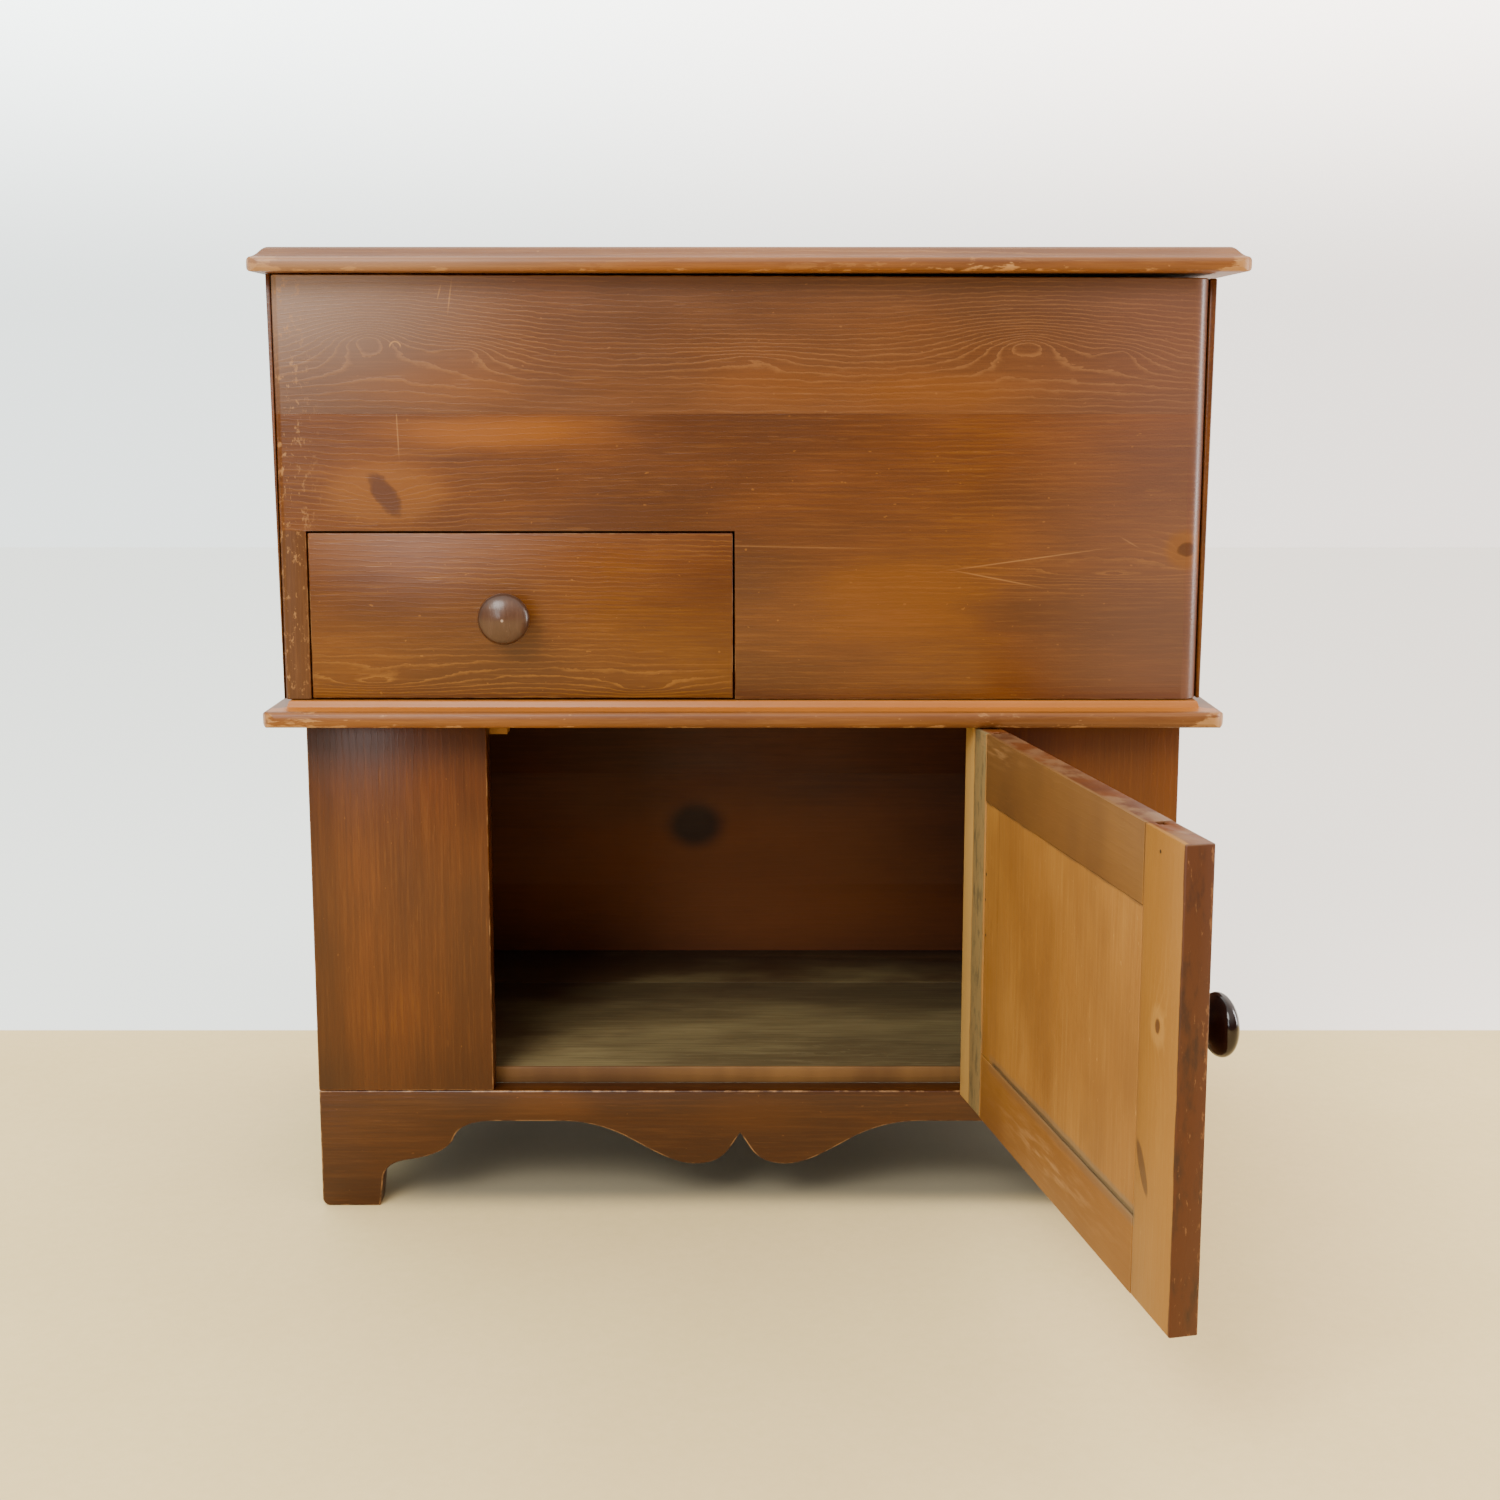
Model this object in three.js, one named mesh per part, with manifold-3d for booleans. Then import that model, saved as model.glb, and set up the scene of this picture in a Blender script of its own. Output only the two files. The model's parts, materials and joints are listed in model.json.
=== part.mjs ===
// Lift-top icebox of stained pine: a zinc-lined ice well under a lid, one drawer, and a cupboard below.
//
// Millimetres, +Z up, the front faces -Y. In the drawing frame X = 0 is the middle of the case,
// Y = 0 is the front face of the lower case and Z = 0 is the floor. At the end the whole group is
// shifted so that its origin is under the middle of its bounding box, with the door standing open.

import * as THREE from 'three';
import { mergeVertices } from 'three/addons/utils/BufferGeometryUtils.js';
import Module from 'manifold-3d';

const wasm = await Module();
wasm.setup();

// ---------------------------------------------------------------- driving dimensions

const GAP = 0.3; // clearance between neighbouring pieces

// heights
const LID_TOP = 880;
const LID_THICKNESS = 21.6;
const LID_BOTTOM = LID_TOP - LID_THICKNESS;
const WAIST_BOTTOM = 464;
const WAIST_THICKNESS = 21.7;
const WAIST_TOP = WAIST_BOTTOM + WAIST_THICKNESS;
const APRON_TOP = 112.8;
const FLOOR_THICKNESS = 15.7;
const FLOOR_TOP = 127.7;

// plan
const LOWER_HALF_WIDTH = 395;
const LOWER_FRONT_THICKNESS = 21.6;
const LOWER_SIDE_THICKNESS = 20;
const UPPER_STEP = 21.9; // the upper front stands this far ahead of the lower front
const UPPER_FRONT_THICKNESS = 20;
const MOULDING_REACH = 26.1; // lid and waist noses ahead of the upper front
const BACK_INNER = 388;
const BACK_THICKNESS = 18;
const BACK = BACK_INNER + BACK_THICKNESS;
const NOSE_Y = -UPPER_STEP - MOULDING_REACH;

// lid and waist mouldings
const LID_HALF_WIDTH = 429.5;
const LID_SHIFT = 5.4; // the lid sits a little to the right of the case
const LID_SEAM_Y = 178;
const WAIST_HALF_WIDTH = 424.7;
const NOSE_CORNER_RADIUS = 16;
const LID_PROFILE = { thickness: LID_THICKNESS, nose: 10.6, foot: 17.6, slopeEnd: 12, topEdge: 18.5 };
const WAIST_PROFILE = { thickness: WAIST_THICKNESS, nose: 12.8, foot: 16, slopeEnd: 20, topEdge: 22.6 };

// upper case
const UPPER_SEAM = 738;
const DRAWER_HOLE = { left: -384, right: -7.3, top: 636.4 };
const FRONT_LEFT_END = -408.2;
const FRONT_RIGHT_END = 404.7;
const FRONT_TOP_LEFT = 858;
const FRONT_TOP_RIGHT = 854.3; // the front has shrunk away from the lid on the right
const SIDE_LEFT = { inner: -391, outerBottom: -409, outerTop: -412.2, top: 858, setback: 3.5 };
const SIDE_RIGHT = { inner: 390, outerBottom: 408.4, outerTop: 411.2, top: 854.3, setback: 9 };
const FRONT_LEFT_RADIUS = 7; // round the ends of the upper front
const FRONT_RIGHT_RADIUS = 16;
const UPPER_BACK_SEAM = 671;
const UPPER_BACK_TOP = 855.5;
const DIVIDER = { left: -7, right: 9 };
const SHELF = { bottom: 637, top: 652 };

// zinc lining and drain
const ZINC = 1.2;
const LINER_RIM = 850;
const DRAIN = { x: 335, y: 345, outer: 9, inner: 7.5, bottom: 95 };

// drawer
const DRAWER = { left: -382.6, right: -8.9, bottom: 487.1, top: 634.2, depth: 340 };
const DRAWER_WALL = 10;
const DRAWER_BACK = 12;
const DRAWER_BOTTOM = 6;
const DRAWER_BOX_TOP = 608;
const DRAWER_BACK_DROP = 6; // the back is lower than the sides
const DRAWER_SIDE_ROOM = 1.6; // the box is narrower than its front on each side
const DRAWER_GUIDE_HEIGHT = 26;
const DRAWER_KNOB = { x: -208.6, z: 561 };

// lower case
const OPENING = { left: -232.4, right: 227 };
const LOWER_BACK_SEAMS = [98, 205, 332];
const FLOOR_SEAM = 273.7;
const CLEAT = 20;
const STOP_BLOCK = { left: -245, right: -215.9, height: 17.5, depth: 20 };

// apron and feet
const APRON_CENTRE = -3; // the scroll was marked out a little off centre
const FOOT_CORNER_RADIUS = 7;
const SIDE_ARCH = { front: 72, back: 344, height: 78, toe: 6, bend: 10, shoulder: 60, toeHeight: 27.3 };

// door, drawn shut and then swung open about its hinge pins
const DOOR_OPEN_DEG = 101.96;
const DOOR_THICKNESS = 21.4;
const DOOR = { left: -230.9, right: 226, bottom: 114.1, top: 463.2 };
const HINGE_STILE = 57;
const LATCH_STILE = 66.3;
const TOP_RAIL = 59;
const BOTTOM_RAIL = 59.4;
const GROOVE = { near: 7.5, far: 13.9, depth: 9 };
const DOOR_PIN = { x: 226.5, y: -5.8 };
const DOOR_HINGE_Z = [400, 176];
const KNOB_INSET = 33;
const DOOR_KNOB_Z = 325;

// hinges
const LEAF = 2;
const KNUCKLE_RADIUS = 4;
const PIN_RADIUS = 1.8;
const LEAF_FROM_PIN = 0.5; // each door leaf lies this far from the plane of the pin
const DOOR_LEAF_DEPTH = 17; // how far back a door leaf reaches
const DOOR_HINGE_HEIGHT = 54;
const LID_HINGE_X = [-255, 265];
const LID_HINGE_WIDTH = 60;
const LID_CASE_LEAF_DROP = 38; // how far below the pin the case leaf reaches
const LID_PIN = { y: BACK + 5, z: LID_BOTTOM - 0.4 };
const BATTEN = { x: [-245, 245], width: 44, front: 20, back: 362, thickness: 17.7 };

// ---------------------------------------------------------------- finishes

const stainedPine = () => new THREE.MeshStandardMaterial({ color: 0x8a4e26, roughness: 0.42, metalness: 0 });
const honeyPine = () => new THREE.MeshStandardMaterial({ color: 0xb07a3c, roughness: 0.6, metalness: 0 });
const darkPine = () => new THREE.MeshStandardMaterial({ color: 0x4a2a12, roughness: 0.75, metalness: 0 });
const greyPine = () => new THREE.MeshStandardMaterial({ color: 0x7d7a5e, roughness: 0.85, metalness: 0 });
const darkKnob = () => new THREE.MeshStandardMaterial({ color: 0x45261c, roughness: 0.35, metalness: 0 });
const zinc = () => new THREE.MeshStandardMaterial({ color: 0x9a9fa0, roughness: 0.45, metalness: 0.8 });
const iron = () => new THREE.MeshStandardMaterial({ color: 0x3b3835, roughness: 0.55, metalness: 0.7 });

// ---------------------------------------------------------------- shape helpers

// a board given by its lowest and highest X, Y and Z
function board(x0, x1, y0, y1, z0, z1) {
  const geometry = new THREE.BoxGeometry(x1 - x0, y1 - y0, z1 - z0);
  return geometry.translate((x0 + x1) / 2, (y0 + y1) / 2, (z0 + z1) / 2);
}

function extrude(shape, length) {
  return new THREE.ExtrudeGeometry(shape, { depth: length, bevelEnabled: false, curveSegments: 6 });
}

// a Y,Z outline run along X
function alongX(shape, x0, x1) {
  const turn = new THREE.Matrix4().makeBasis(
    new THREE.Vector3(0, 1, 0),
    new THREE.Vector3(0, 0, 1),
    new THREE.Vector3(1, 0, 0),
  );
  return extrude(shape, x1 - x0).applyMatrix4(turn).translate(x0, 0, 0);
}

// an X,Z outline run along Y
function alongY(shape, y0, y1) {
  return extrude(shape, y1 - y0).rotateX(Math.PI / 2).translate(0, y1, 0);
}

// an X,Y outline run along Z
function alongZ(shape, z0, z1) {
  return extrude(shape, z1 - z0).translate(0, 0, z0);
}

function outline(points) {
  return new THREE.Shape(points.map(([a, b]) => new THREE.Vector2(a, b)));
}

// a rod between two heights, standing along Z
function rod(x, y, radius, z0, z1, sides = 20) {
  return new THREE.CylinderGeometry(radius, radius, z1 - z0, sides)
    .rotateX(Math.PI / 2)
    .translate(x, y, (z0 + z1) / 2);
}

// a rod lying along X
function rodX(y, z, radius, x0, x1, sides = 20) {
  return new THREE.CylinderGeometry(radius, radius, x1 - x0, sides)
    .rotateZ(Math.PI / 2)
    .translate((x0 + x1) / 2, y, z);
}

function toSolid(geometry) {
  const bare = geometry.clone();
  bare.deleteAttribute('normal');
  bare.deleteAttribute('uv');
  const merged = mergeVertices(bare, 1e-4);
  return new wasm.Manifold(new wasm.Mesh({
    numProp: 3,
    vertProperties: new Float32Array(merged.attributes.position.array),
    triVerts: new Uint32Array(merged.index.array),
  }));
}

function toGeometry(solid) {
  const mesh = solid.getMesh();
  const geometry = new THREE.BufferGeometry();
  geometry.setAttribute('position', new THREE.BufferAttribute(mesh.vertProperties, 3));
  geometry.setIndex(new THREE.BufferAttribute(mesh.triVerts, 1));
  return geometry;
}

function cut(geometry, ...tools) {
  return toGeometry(tools.reduce((solid, tool) => solid.subtract(toSolid(tool)), toSolid(geometry)));
}

function join(geometry, ...others) {
  return toGeometry(others.reduce((solid, other) => solid.add(toSolid(other)), toSolid(geometry)));
}

function common(geometry, ...others) {
  return toGeometry(others.reduce((solid, other) => solid.intersect(toSolid(other)), toSolid(geometry)));
}

function add(group, name, geometry, material) {
  const flat = geometry.index ? geometry.toNonIndexed() : geometry;
  flat.computeVertexNormals();
  const mesh = new THREE.Mesh(flat, material);
  mesh.name = name;
  group.add(mesh);
  return mesh;
}

// ---------------------------------------------------------------- moulded boards

// The edge runs from the underside round the nose, up a hollow slope and over a small shoulder.
// Each pair is a distance in from the nose and a height above the underside.
function mouldedEdge({ thickness, nose, foot, slopeEnd, topEdge }) {
  const ridge = 5; // how far in the slope begins
  const underRound = 7;
  const path = new THREE.Path();
  path.moveTo(underRound, 0);
  path.quadraticCurveTo(0.8, 0, 0, nose * 0.6);
  path.quadraticCurveTo(0, nose + 0.6, ridge, nose + 2);
  path.quadraticCurveTo((ridge + slopeEnd) / 2, nose + (foot - nose) * 0.4, slopeEnd, foot);
  path.quadraticCurveTo(slopeEnd + (topEdge - slopeEnd) * 0.5, thickness, topEdge, thickness);
  return path.getPoints(4).map((point) => [point.x, point.y]);
}

// The moulding runs along the front and both ends. Crossing the long profile with the end
// profile mitres the corners, and the plan outline rounds them.
function mouldedBoard(profile, x0, x1, bottom) {
  const edge = mouldedEdge(profile);
  const front = edge.map(([inset, height]) => [NOSE_Y + inset, bottom + height]);
  const long = outline([[BACK, bottom], ...front, [BACK, bottom + profile.thickness]]);
  const left = edge.map(([inset, height]) => [x0 + inset, bottom + height]);
  const right = edge.map(([inset, height]) => [x1 - inset, bottom + height]).reverse();
  const ends = outline([...left, ...right]);
  const plan = new THREE.Shape();
  const r = NOSE_CORNER_RADIUS;
  plan.moveTo(x0 + r, NOSE_Y);
  plan.lineTo(x1 - r, NOSE_Y);
  plan.absarc(x1 - r, NOSE_Y + r, r, -Math.PI / 2, 0);
  plan.lineTo(x1, BACK);
  plan.lineTo(x0, BACK);
  plan.lineTo(x0, NOSE_Y + r);
  plan.absarc(x0 + r, NOSE_Y + r, r, Math.PI, Math.PI * 1.5);
  return common(
    alongX(long, x0 - 1, x1 + 1),
    alongY(ends, NOSE_Y - 1, BACK + 1),
    alongZ(plan, bottom - 1, bottom + profile.thickness + 1),
  );
}

// ---------------------------------------------------------------- turned knob

// A mushroom knob with a narrow neck, a wide head and a shallow domed face. It stands on a face
// at the given Y and pulls towards -Y.
function knob(x, y, z) {
  const profile = [
    [0, 0], [10.5, 0], [10.5, 1.6], [8.6, 3], [7.8, 7], [8.6, 11], [12.5, 14.8], [19, 17.4],
    [22.2, 20.2], [23, 23.2], [22.2, 26.4], [19.4, 29.2], [14.6, 31.8], [9, 33.6], [3.4, 34.6], [0, 34.8],
  ];
  const points = profile.map(([r, h]) => new THREE.Vector2(r, h));
  return new THREE.LatheGeometry(points, 28).rotateX(Math.PI).translate(x, y, z);
}

// ---------------------------------------------------------------- hinges

// A leaf of the door hinge about a pin along Z. side is +1 for the case leaf and -1 for the door
// leaf, and knuckles lists the heights that its knuckles fill.
function doorLeaf(side, centre, knuckles) {
  const face = DOOR_PIN.x + side * LEAF_FROM_PIN;
  const [x0, x1] = side > 0 ? [face, face + LEAF] : [face - LEAF, face];
  const half = DOOR_HINGE_HEIGHT / 2;
  let leaf = board(x0, x1, DOOR_PIN.y + KNUCKLE_RADIUS + 0.5, DOOR_LEAF_DEPTH, centre - half, centre + half);
  for (const [low, high] of knuckles) {
    leaf = join(
      leaf,
      board(x0, x1, DOOR_PIN.y, DOOR_PIN.y + KNUCKLE_RADIUS + 1, centre + low, centre + high),
      rod(DOOR_PIN.x, DOOR_PIN.y, KNUCKLE_RADIUS, centre + low, centre + high),
    );
  }
  return cut(leaf, rod(DOOR_PIN.x, DOOR_PIN.y, PIN_RADIUS + GAP, centre - half - 1, centre + half + 1, 16));
}

// A leaf of the lid hinge about a pin along X. up is true for the leaf on the lid.
function lidLeaf(up, centre, knuckles) {
  const half = LID_HINGE_WIDTH / 2;
  const y0 = BACK + GAP;
  const y1 = y0 + LEAF;
  const clear = KNUCKLE_RADIUS + 0.5;
  const z0 = up ? LID_PIN.z + clear : LID_PIN.z - LID_CASE_LEAF_DROP;
  const z1 = up ? LID_TOP - 3 : LID_PIN.z - clear;
  let leaf = board(centre - half, centre + half, y0, y1, z0, z1);
  for (const [low, high] of knuckles) {
    const [t0, t1] = up ? [LID_PIN.z + 1, z0 + 1] : [z1 - 1, LID_PIN.z - 1];
    leaf = join(
      leaf,
      board(centre + low, centre + high, y0, y1, t0, t1),
      rodX(LID_PIN.y, LID_PIN.z, KNUCKLE_RADIUS, centre + low, centre + high),
    );
  }
  return cut(leaf, rodX(LID_PIN.y, LID_PIN.z, PIN_RADIUS + GAP, centre - half - 1, centre + half + 1, 16));
}

// Knuckles as stretches along the pin: the case leaf has the two outer ones.
function knuckleSpans(length) {
  const third = length / 6;
  return {
    outer: [[-3 * third, -third - 0.2], [third + 0.2, 3 * third]],
    middle: [[-third + 0.2, third - 0.2]],
  };
}

// ---------------------------------------------------------------- groups, one for each moving body

const icebox = new THREE.Group();
const caseGroup = new THREE.Group();
const lidGroup = new THREE.Group();
const drawerGroup = new THREE.Group();
const doorHinge = new THREE.Group();
icebox.add(caseGroup, lidGroup, drawerGroup, doorHinge);

// ---------------------------------------------------------------- waist board

const drainHole = (z0, z1) => rod(DRAIN.x, DRAIN.y, DRAIN.outer + GAP, z0, z1, 24);

add(
  caseGroup,
  'waist_board',
  cut(
    mouldedBoard(WAIST_PROFILE, -WAIST_HALF_WIDTH, WAIST_HALF_WIDTH, WAIST_BOTTOM),
    drainHole(WAIST_BOTTOM - 1, WAIST_TOP + 1),
  ),
  stainedPine(),
);

// ---------------------------------------------------------------- upper case

const UPPER_FRONT = -UPPER_STEP;
const UPPER_FRONT_BACK = UPPER_FRONT + UPPER_FRONT_THICKNESS;
const UPPER_BASE = WAIST_TOP + GAP;

// plan of the upper front with its two rounded ends
function frontPlan() {
  const [left, right] = [FRONT_LEFT_RADIUS, FRONT_RIGHT_RADIUS];
  const plan = new THREE.Shape();
  plan.moveTo(FRONT_LEFT_END + left, UPPER_FRONT);
  plan.lineTo(FRONT_RIGHT_END - right, UPPER_FRONT);
  plan.absarc(FRONT_RIGHT_END - right, UPPER_FRONT + right, right, -Math.PI / 2, 0);
  plan.lineTo(FRONT_RIGHT_END, UPPER_FRONT_BACK);
  plan.lineTo(FRONT_LEFT_END, UPPER_FRONT_BACK);
  plan.lineTo(FRONT_LEFT_END, UPPER_FRONT + left);
  plan.absarc(FRONT_LEFT_END + left, UPPER_FRONT + left, left, Math.PI, Math.PI * 1.5);
  return alongZ(plan, UPPER_BASE - 5, LID_BOTTOM + 5);
}

function frontBoard(points) {
  return common(frontPlan(), alongY(outline(points), UPPER_FRONT - 5, UPPER_FRONT_BACK + 5));
}

const WIDE = 450; // past the ends of the front, where the plan trims the outline

add(
  caseGroup,
  'front_top_board',
  frontBoard([
    [-WIDE, UPPER_SEAM + GAP],
    [WIDE, UPPER_SEAM + GAP],
    [WIDE, FRONT_TOP_RIGHT],
    [-WIDE, FRONT_TOP_LEFT],
  ]),
  stainedPine(),
);
add(
  caseGroup,
  'front_lower_board',
  frontBoard([
    [DRAWER_HOLE.right, UPPER_BASE],
    [WIDE, UPPER_BASE],
    [WIDE, UPPER_SEAM],
    [-WIDE, UPPER_SEAM],
    [-WIDE, DRAWER_HOLE.top],
    [DRAWER_HOLE.right, DRAWER_HOLE.top],
  ]),
  stainedPine(),
);
add(
  caseGroup,
  'front_stile_left',
  frontBoard([
    [-WIDE, UPPER_BASE],
    [DRAWER_HOLE.left, UPPER_BASE],
    [DRAWER_HOLE.left, DRAWER_HOLE.top - GAP],
    [-WIDE, DRAWER_HOLE.top - GAP],
  ]),
  stainedPine(),
);

// A side board leans out slightly, and its front edge is rebated to leave a thin lip round the
// end of the front boards.
function upperSide({ inner, outerBottom, outerTop, top, setback }, frontEnd) {
  const section = outline([[inner, UPPER_BASE], [outerBottom, UPPER_BASE], [outerTop, top], [inner, top]]);
  const side = alongY(section, UPPER_FRONT + setback, BACK);
  const lip = frontEnd + Math.sign(frontEnd) * GAP;
  const [x0, x1] = frontEnd < 0 ? [lip, inner + 5] : [inner - 5, lip];
  const rebate = board(x0, x1, UPPER_FRONT - 5, UPPER_FRONT_BACK + GAP, UPPER_BASE - 5, LID_BOTTOM + 5);
  return cut(side, rebate);
}

add(caseGroup, 'upper_side_left', upperSide(SIDE_LEFT, FRONT_LEFT_END), stainedPine());
add(caseGroup, 'upper_side_right', upperSide(SIDE_RIGHT, FRONT_RIGHT_END), stainedPine());

const upperBack = (z0, z1) => board(SIDE_LEFT.inner + GAP, SIDE_RIGHT.inner - GAP, BACK_INNER, BACK, z0, z1);
add(caseGroup, 'upper_back_board_top', upperBack(UPPER_BACK_SEAM + GAP, UPPER_BACK_TOP), darkPine());
add(caseGroup, 'upper_back_board_bottom', upperBack(UPPER_BASE, UPPER_BACK_SEAM), darkPine());

// The drawer runs in its own housing: a divider on its right, a shelf over it that is the floor
// of the shallow end of the well, and a guide strip on its left.
const HOUSING_FRONT = UPPER_FRONT_BACK + GAP;
const HOUSING_BACK = BACK_INNER - GAP;
add(
  caseGroup,
  'drawer_divider',
  board(DIVIDER.left, DIVIDER.right, HOUSING_FRONT, HOUSING_BACK, UPPER_BASE, SHELF.bottom - GAP),
  darkPine(),
);
add(
  caseGroup,
  'well_shelf',
  board(SIDE_LEFT.inner + GAP, DIVIDER.right, HOUSING_FRONT, HOUSING_BACK, SHELF.bottom, SHELF.top),
  darkPine(),
);
add(
  caseGroup,
  'drawer_guide',
  board(
    SIDE_LEFT.inner + GAP,
    DRAWER.left - GAP,
    HOUSING_FRONT,
    HOUSING_BACK,
    UPPER_BASE,
    UPPER_BASE + DRAWER_GUIDE_HEIGHT,
  ),
  darkPine(),
);

// ---------------------------------------------------------------- zinc lining and drain

const WELL = {
  left: SIDE_LEFT.inner + GAP,
  right: SIDE_RIGHT.inner - GAP,
  front: UPPER_FRONT_BACK + GAP,
  back: BACK_INNER - GAP,
  deep: WAIST_TOP + GAP,
  shallow: SHELF.top + GAP,
  riser: DIVIDER.right + GAP,
};

// the front and back sheets step down past the drawer housing
const steppedSheet = (y0) => alongY(
  outline([
    [WELL.riser, WELL.deep],
    [WELL.right, WELL.deep],
    [WELL.right, LINER_RIM],
    [WELL.left, LINER_RIM],
    [WELL.left, WELL.shallow],
    [WELL.riser, WELL.shallow],
  ]),
  y0,
  y0 + ZINC,
);
const SHEET_FRONT = WELL.front + ZINC + GAP;
const SHEET_BACK = WELL.back - ZINC - GAP;

add(caseGroup, 'liner_front_sheet', steppedSheet(WELL.front), zinc());
add(caseGroup, 'liner_back_sheet', steppedSheet(WELL.back - ZINC), zinc());
add(
  caseGroup,
  'liner_left_sheet',
  board(WELL.left, WELL.left + ZINC, SHEET_FRONT, SHEET_BACK, WELL.shallow, LINER_RIM),
  zinc(),
);
add(
  caseGroup,
  'liner_right_sheet',
  board(WELL.right - ZINC, WELL.right, SHEET_FRONT, SHEET_BACK, WELL.deep, LINER_RIM),
  zinc(),
);
add(
  caseGroup,
  'liner_riser',
  board(WELL.riser, WELL.riser + ZINC, SHEET_FRONT, SHEET_BACK, WELL.deep, WELL.shallow - GAP),
  zinc(),
);
add(
  caseGroup,
  'liner_floor_shallow',
  board(
    WELL.left + ZINC + GAP,
    WELL.riser + ZINC,
    SHEET_FRONT,
    SHEET_BACK,
    WELL.shallow,
    WELL.shallow + ZINC,
  ),
  zinc(),
);
add(
  caseGroup,
  'liner_floor_deep',
  cut(
    board(
      WELL.riser + ZINC + GAP,
      WELL.right - ZINC - GAP,
      SHEET_FRONT,
      SHEET_BACK,
      WELL.deep,
      WELL.deep + ZINC,
    ),
    rod(DRAIN.x, DRAIN.y, DRAIN.inner, WELL.deep - 1, WELL.deep + ZINC + 1, 24),
  ),
  zinc(),
);
add(
  caseGroup,
  'drain_pipe',
  cut(
    rod(DRAIN.x, DRAIN.y, DRAIN.outer, DRAIN.bottom, WAIST_TOP, 24),
    rod(DRAIN.x, DRAIN.y, DRAIN.inner, DRAIN.bottom - 1, WAIST_TOP + 1, 24),
  ),
  zinc(),
);

// ---------------------------------------------------------------- lower case

const CASE_TOP = WAIST_BOTTOM - GAP;
const PANEL_BASE = APRON_TOP + GAP;
const INNER_HALF = LOWER_HALF_WIDTH - LOWER_SIDE_THICKNESS;
const BEHIND_FRONT = LOWER_FRONT_THICKNESS + GAP;
const doorSpans = knuckleSpans(DOOR_HINGE_HEIGHT);

// a shallow seat for a hinge leaf, cut into an edge on one side of the pin
function leafSeat(side, centre) {
  const face = DOOR_PIN.x + side * LEAF_FROM_PIN;
  const depth = LEAF + GAP;
  const [x0, x1] = side > 0 ? [face - 1, face + depth] : [face - depth, face + 1];
  const half = DOOR_HINGE_HEIGHT / 2 + GAP;
  return board(x0, x1, -1, DOOR_LEAF_DEPTH + GAP, centre - half, centre + half);
}

add(
  caseGroup,
  'lower_panel_left',
  board(-LOWER_HALF_WIDTH, OPENING.left, 0, LOWER_FRONT_THICKNESS, PANEL_BASE, CASE_TOP),
  stainedPine(),
);
add(
  caseGroup,
  'lower_panel_right',
  cut(
    board(OPENING.right, LOWER_HALF_WIDTH, 0, LOWER_FRONT_THICKNESS, PANEL_BASE, CASE_TOP),
    ...DOOR_HINGE_Z.map((z) => leafSeat(1, z)),
  ),
  stainedPine(),
);

// Half of the scroll, from the notch in the middle out to the foot, as distances from the centre.
function scroll() {
  const path = new THREE.Path();
  path.moveTo(0, 71.6);
  path.lineTo(10, 56);
  path.quadraticCurveTo(20, 41, 42.5, 41);
  path.bezierCurveTo(62, 41, 82, 54, 108, 68.6);
  path.quadraticCurveTo(136, 83, 168, 83);
  path.lineTo(228, 83);
  path.quadraticCurveTo(260, 83, 267, 68.5);
  path.quadraticCurveTo(272, 50.5, 310.4, 45);
  path.quadraticCurveTo(332, 42, 334.5, 29);
  path.lineTo(338, 0);
  return path.getPoints(8).map((point) => [point.x, point.y]);
}

function apronShape() {
  const half = scroll();
  const right = half.map(([d, z]) => [APRON_CENTRE + d, z]);
  const left = half.slice(1).map(([d, z]) => [APRON_CENTRE - d, z]).reverse();
  const r = FOOT_CORNER_RADIUS;
  const shape = new THREE.Shape();
  shape.moveTo(-LOWER_HALF_WIDTH + r, 0);
  for (const [x, z] of [...left, ...right]) {
    shape.lineTo(x, z);
  }
  shape.lineTo(LOWER_HALF_WIDTH - r, 0);
  shape.absarc(LOWER_HALF_WIDTH - r, r, r, -Math.PI / 2, 0);
  shape.lineTo(LOWER_HALF_WIDTH, APRON_TOP);
  shape.lineTo(-LOWER_HALF_WIDTH, APRON_TOP);
  shape.lineTo(-LOWER_HALF_WIDTH, r);
  shape.absarc(-LOWER_HALF_WIDTH + r, r, r, Math.PI, Math.PI * 1.5);
  return shape;
}

add(caseGroup, 'front_apron', alongY(apronShape(), 0, LOWER_FRONT_THICKNESS), stainedPine());

// Side board with an arch between its front and rear feet.
function lowerSideShape() {
  const { front, back, height, toe, bend, shoulder, toeHeight } = SIDE_ARCH;
  const shape = new THREE.Shape();
  shape.moveTo(BEHIND_FRONT, 0);
  shape.lineTo(front, 0);
  shape.lineTo(front + toe, toeHeight);
  shape.quadraticCurveTo(front + bend, height, front + shoulder, height);
  shape.lineTo(back - shoulder, height);
  shape.quadraticCurveTo(back - bend, height, back - toe, toeHeight);
  shape.lineTo(back, 0);
  shape.lineTo(BACK, 0);
  shape.lineTo(BACK, CASE_TOP);
  shape.lineTo(BEHIND_FRONT, CASE_TOP);
  return shape;
}

add(caseGroup, 'lower_side_left', alongX(lowerSideShape(), -LOWER_HALF_WIDTH, -INNER_HALF), stainedPine());
add(caseGroup, 'lower_side_right', alongX(lowerSideShape(), INNER_HALF, LOWER_HALF_WIDTH), stainedPine());

const lowerBackNames = ['lower_back_board_bottom', 'lower_back_board_middle', 'lower_back_board_top'];
lowerBackNames.forEach((name, i) => {
  const z1 = i + 1 < LOWER_BACK_SEAMS.length ? LOWER_BACK_SEAMS[i + 1] - GAP : CASE_TOP;
  const inside = INNER_HALF - GAP;
  add(caseGroup, name, board(-inside, inside, BACK_INNER, BACK, LOWER_BACK_SEAMS[i], z1), darkPine());
});

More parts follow.
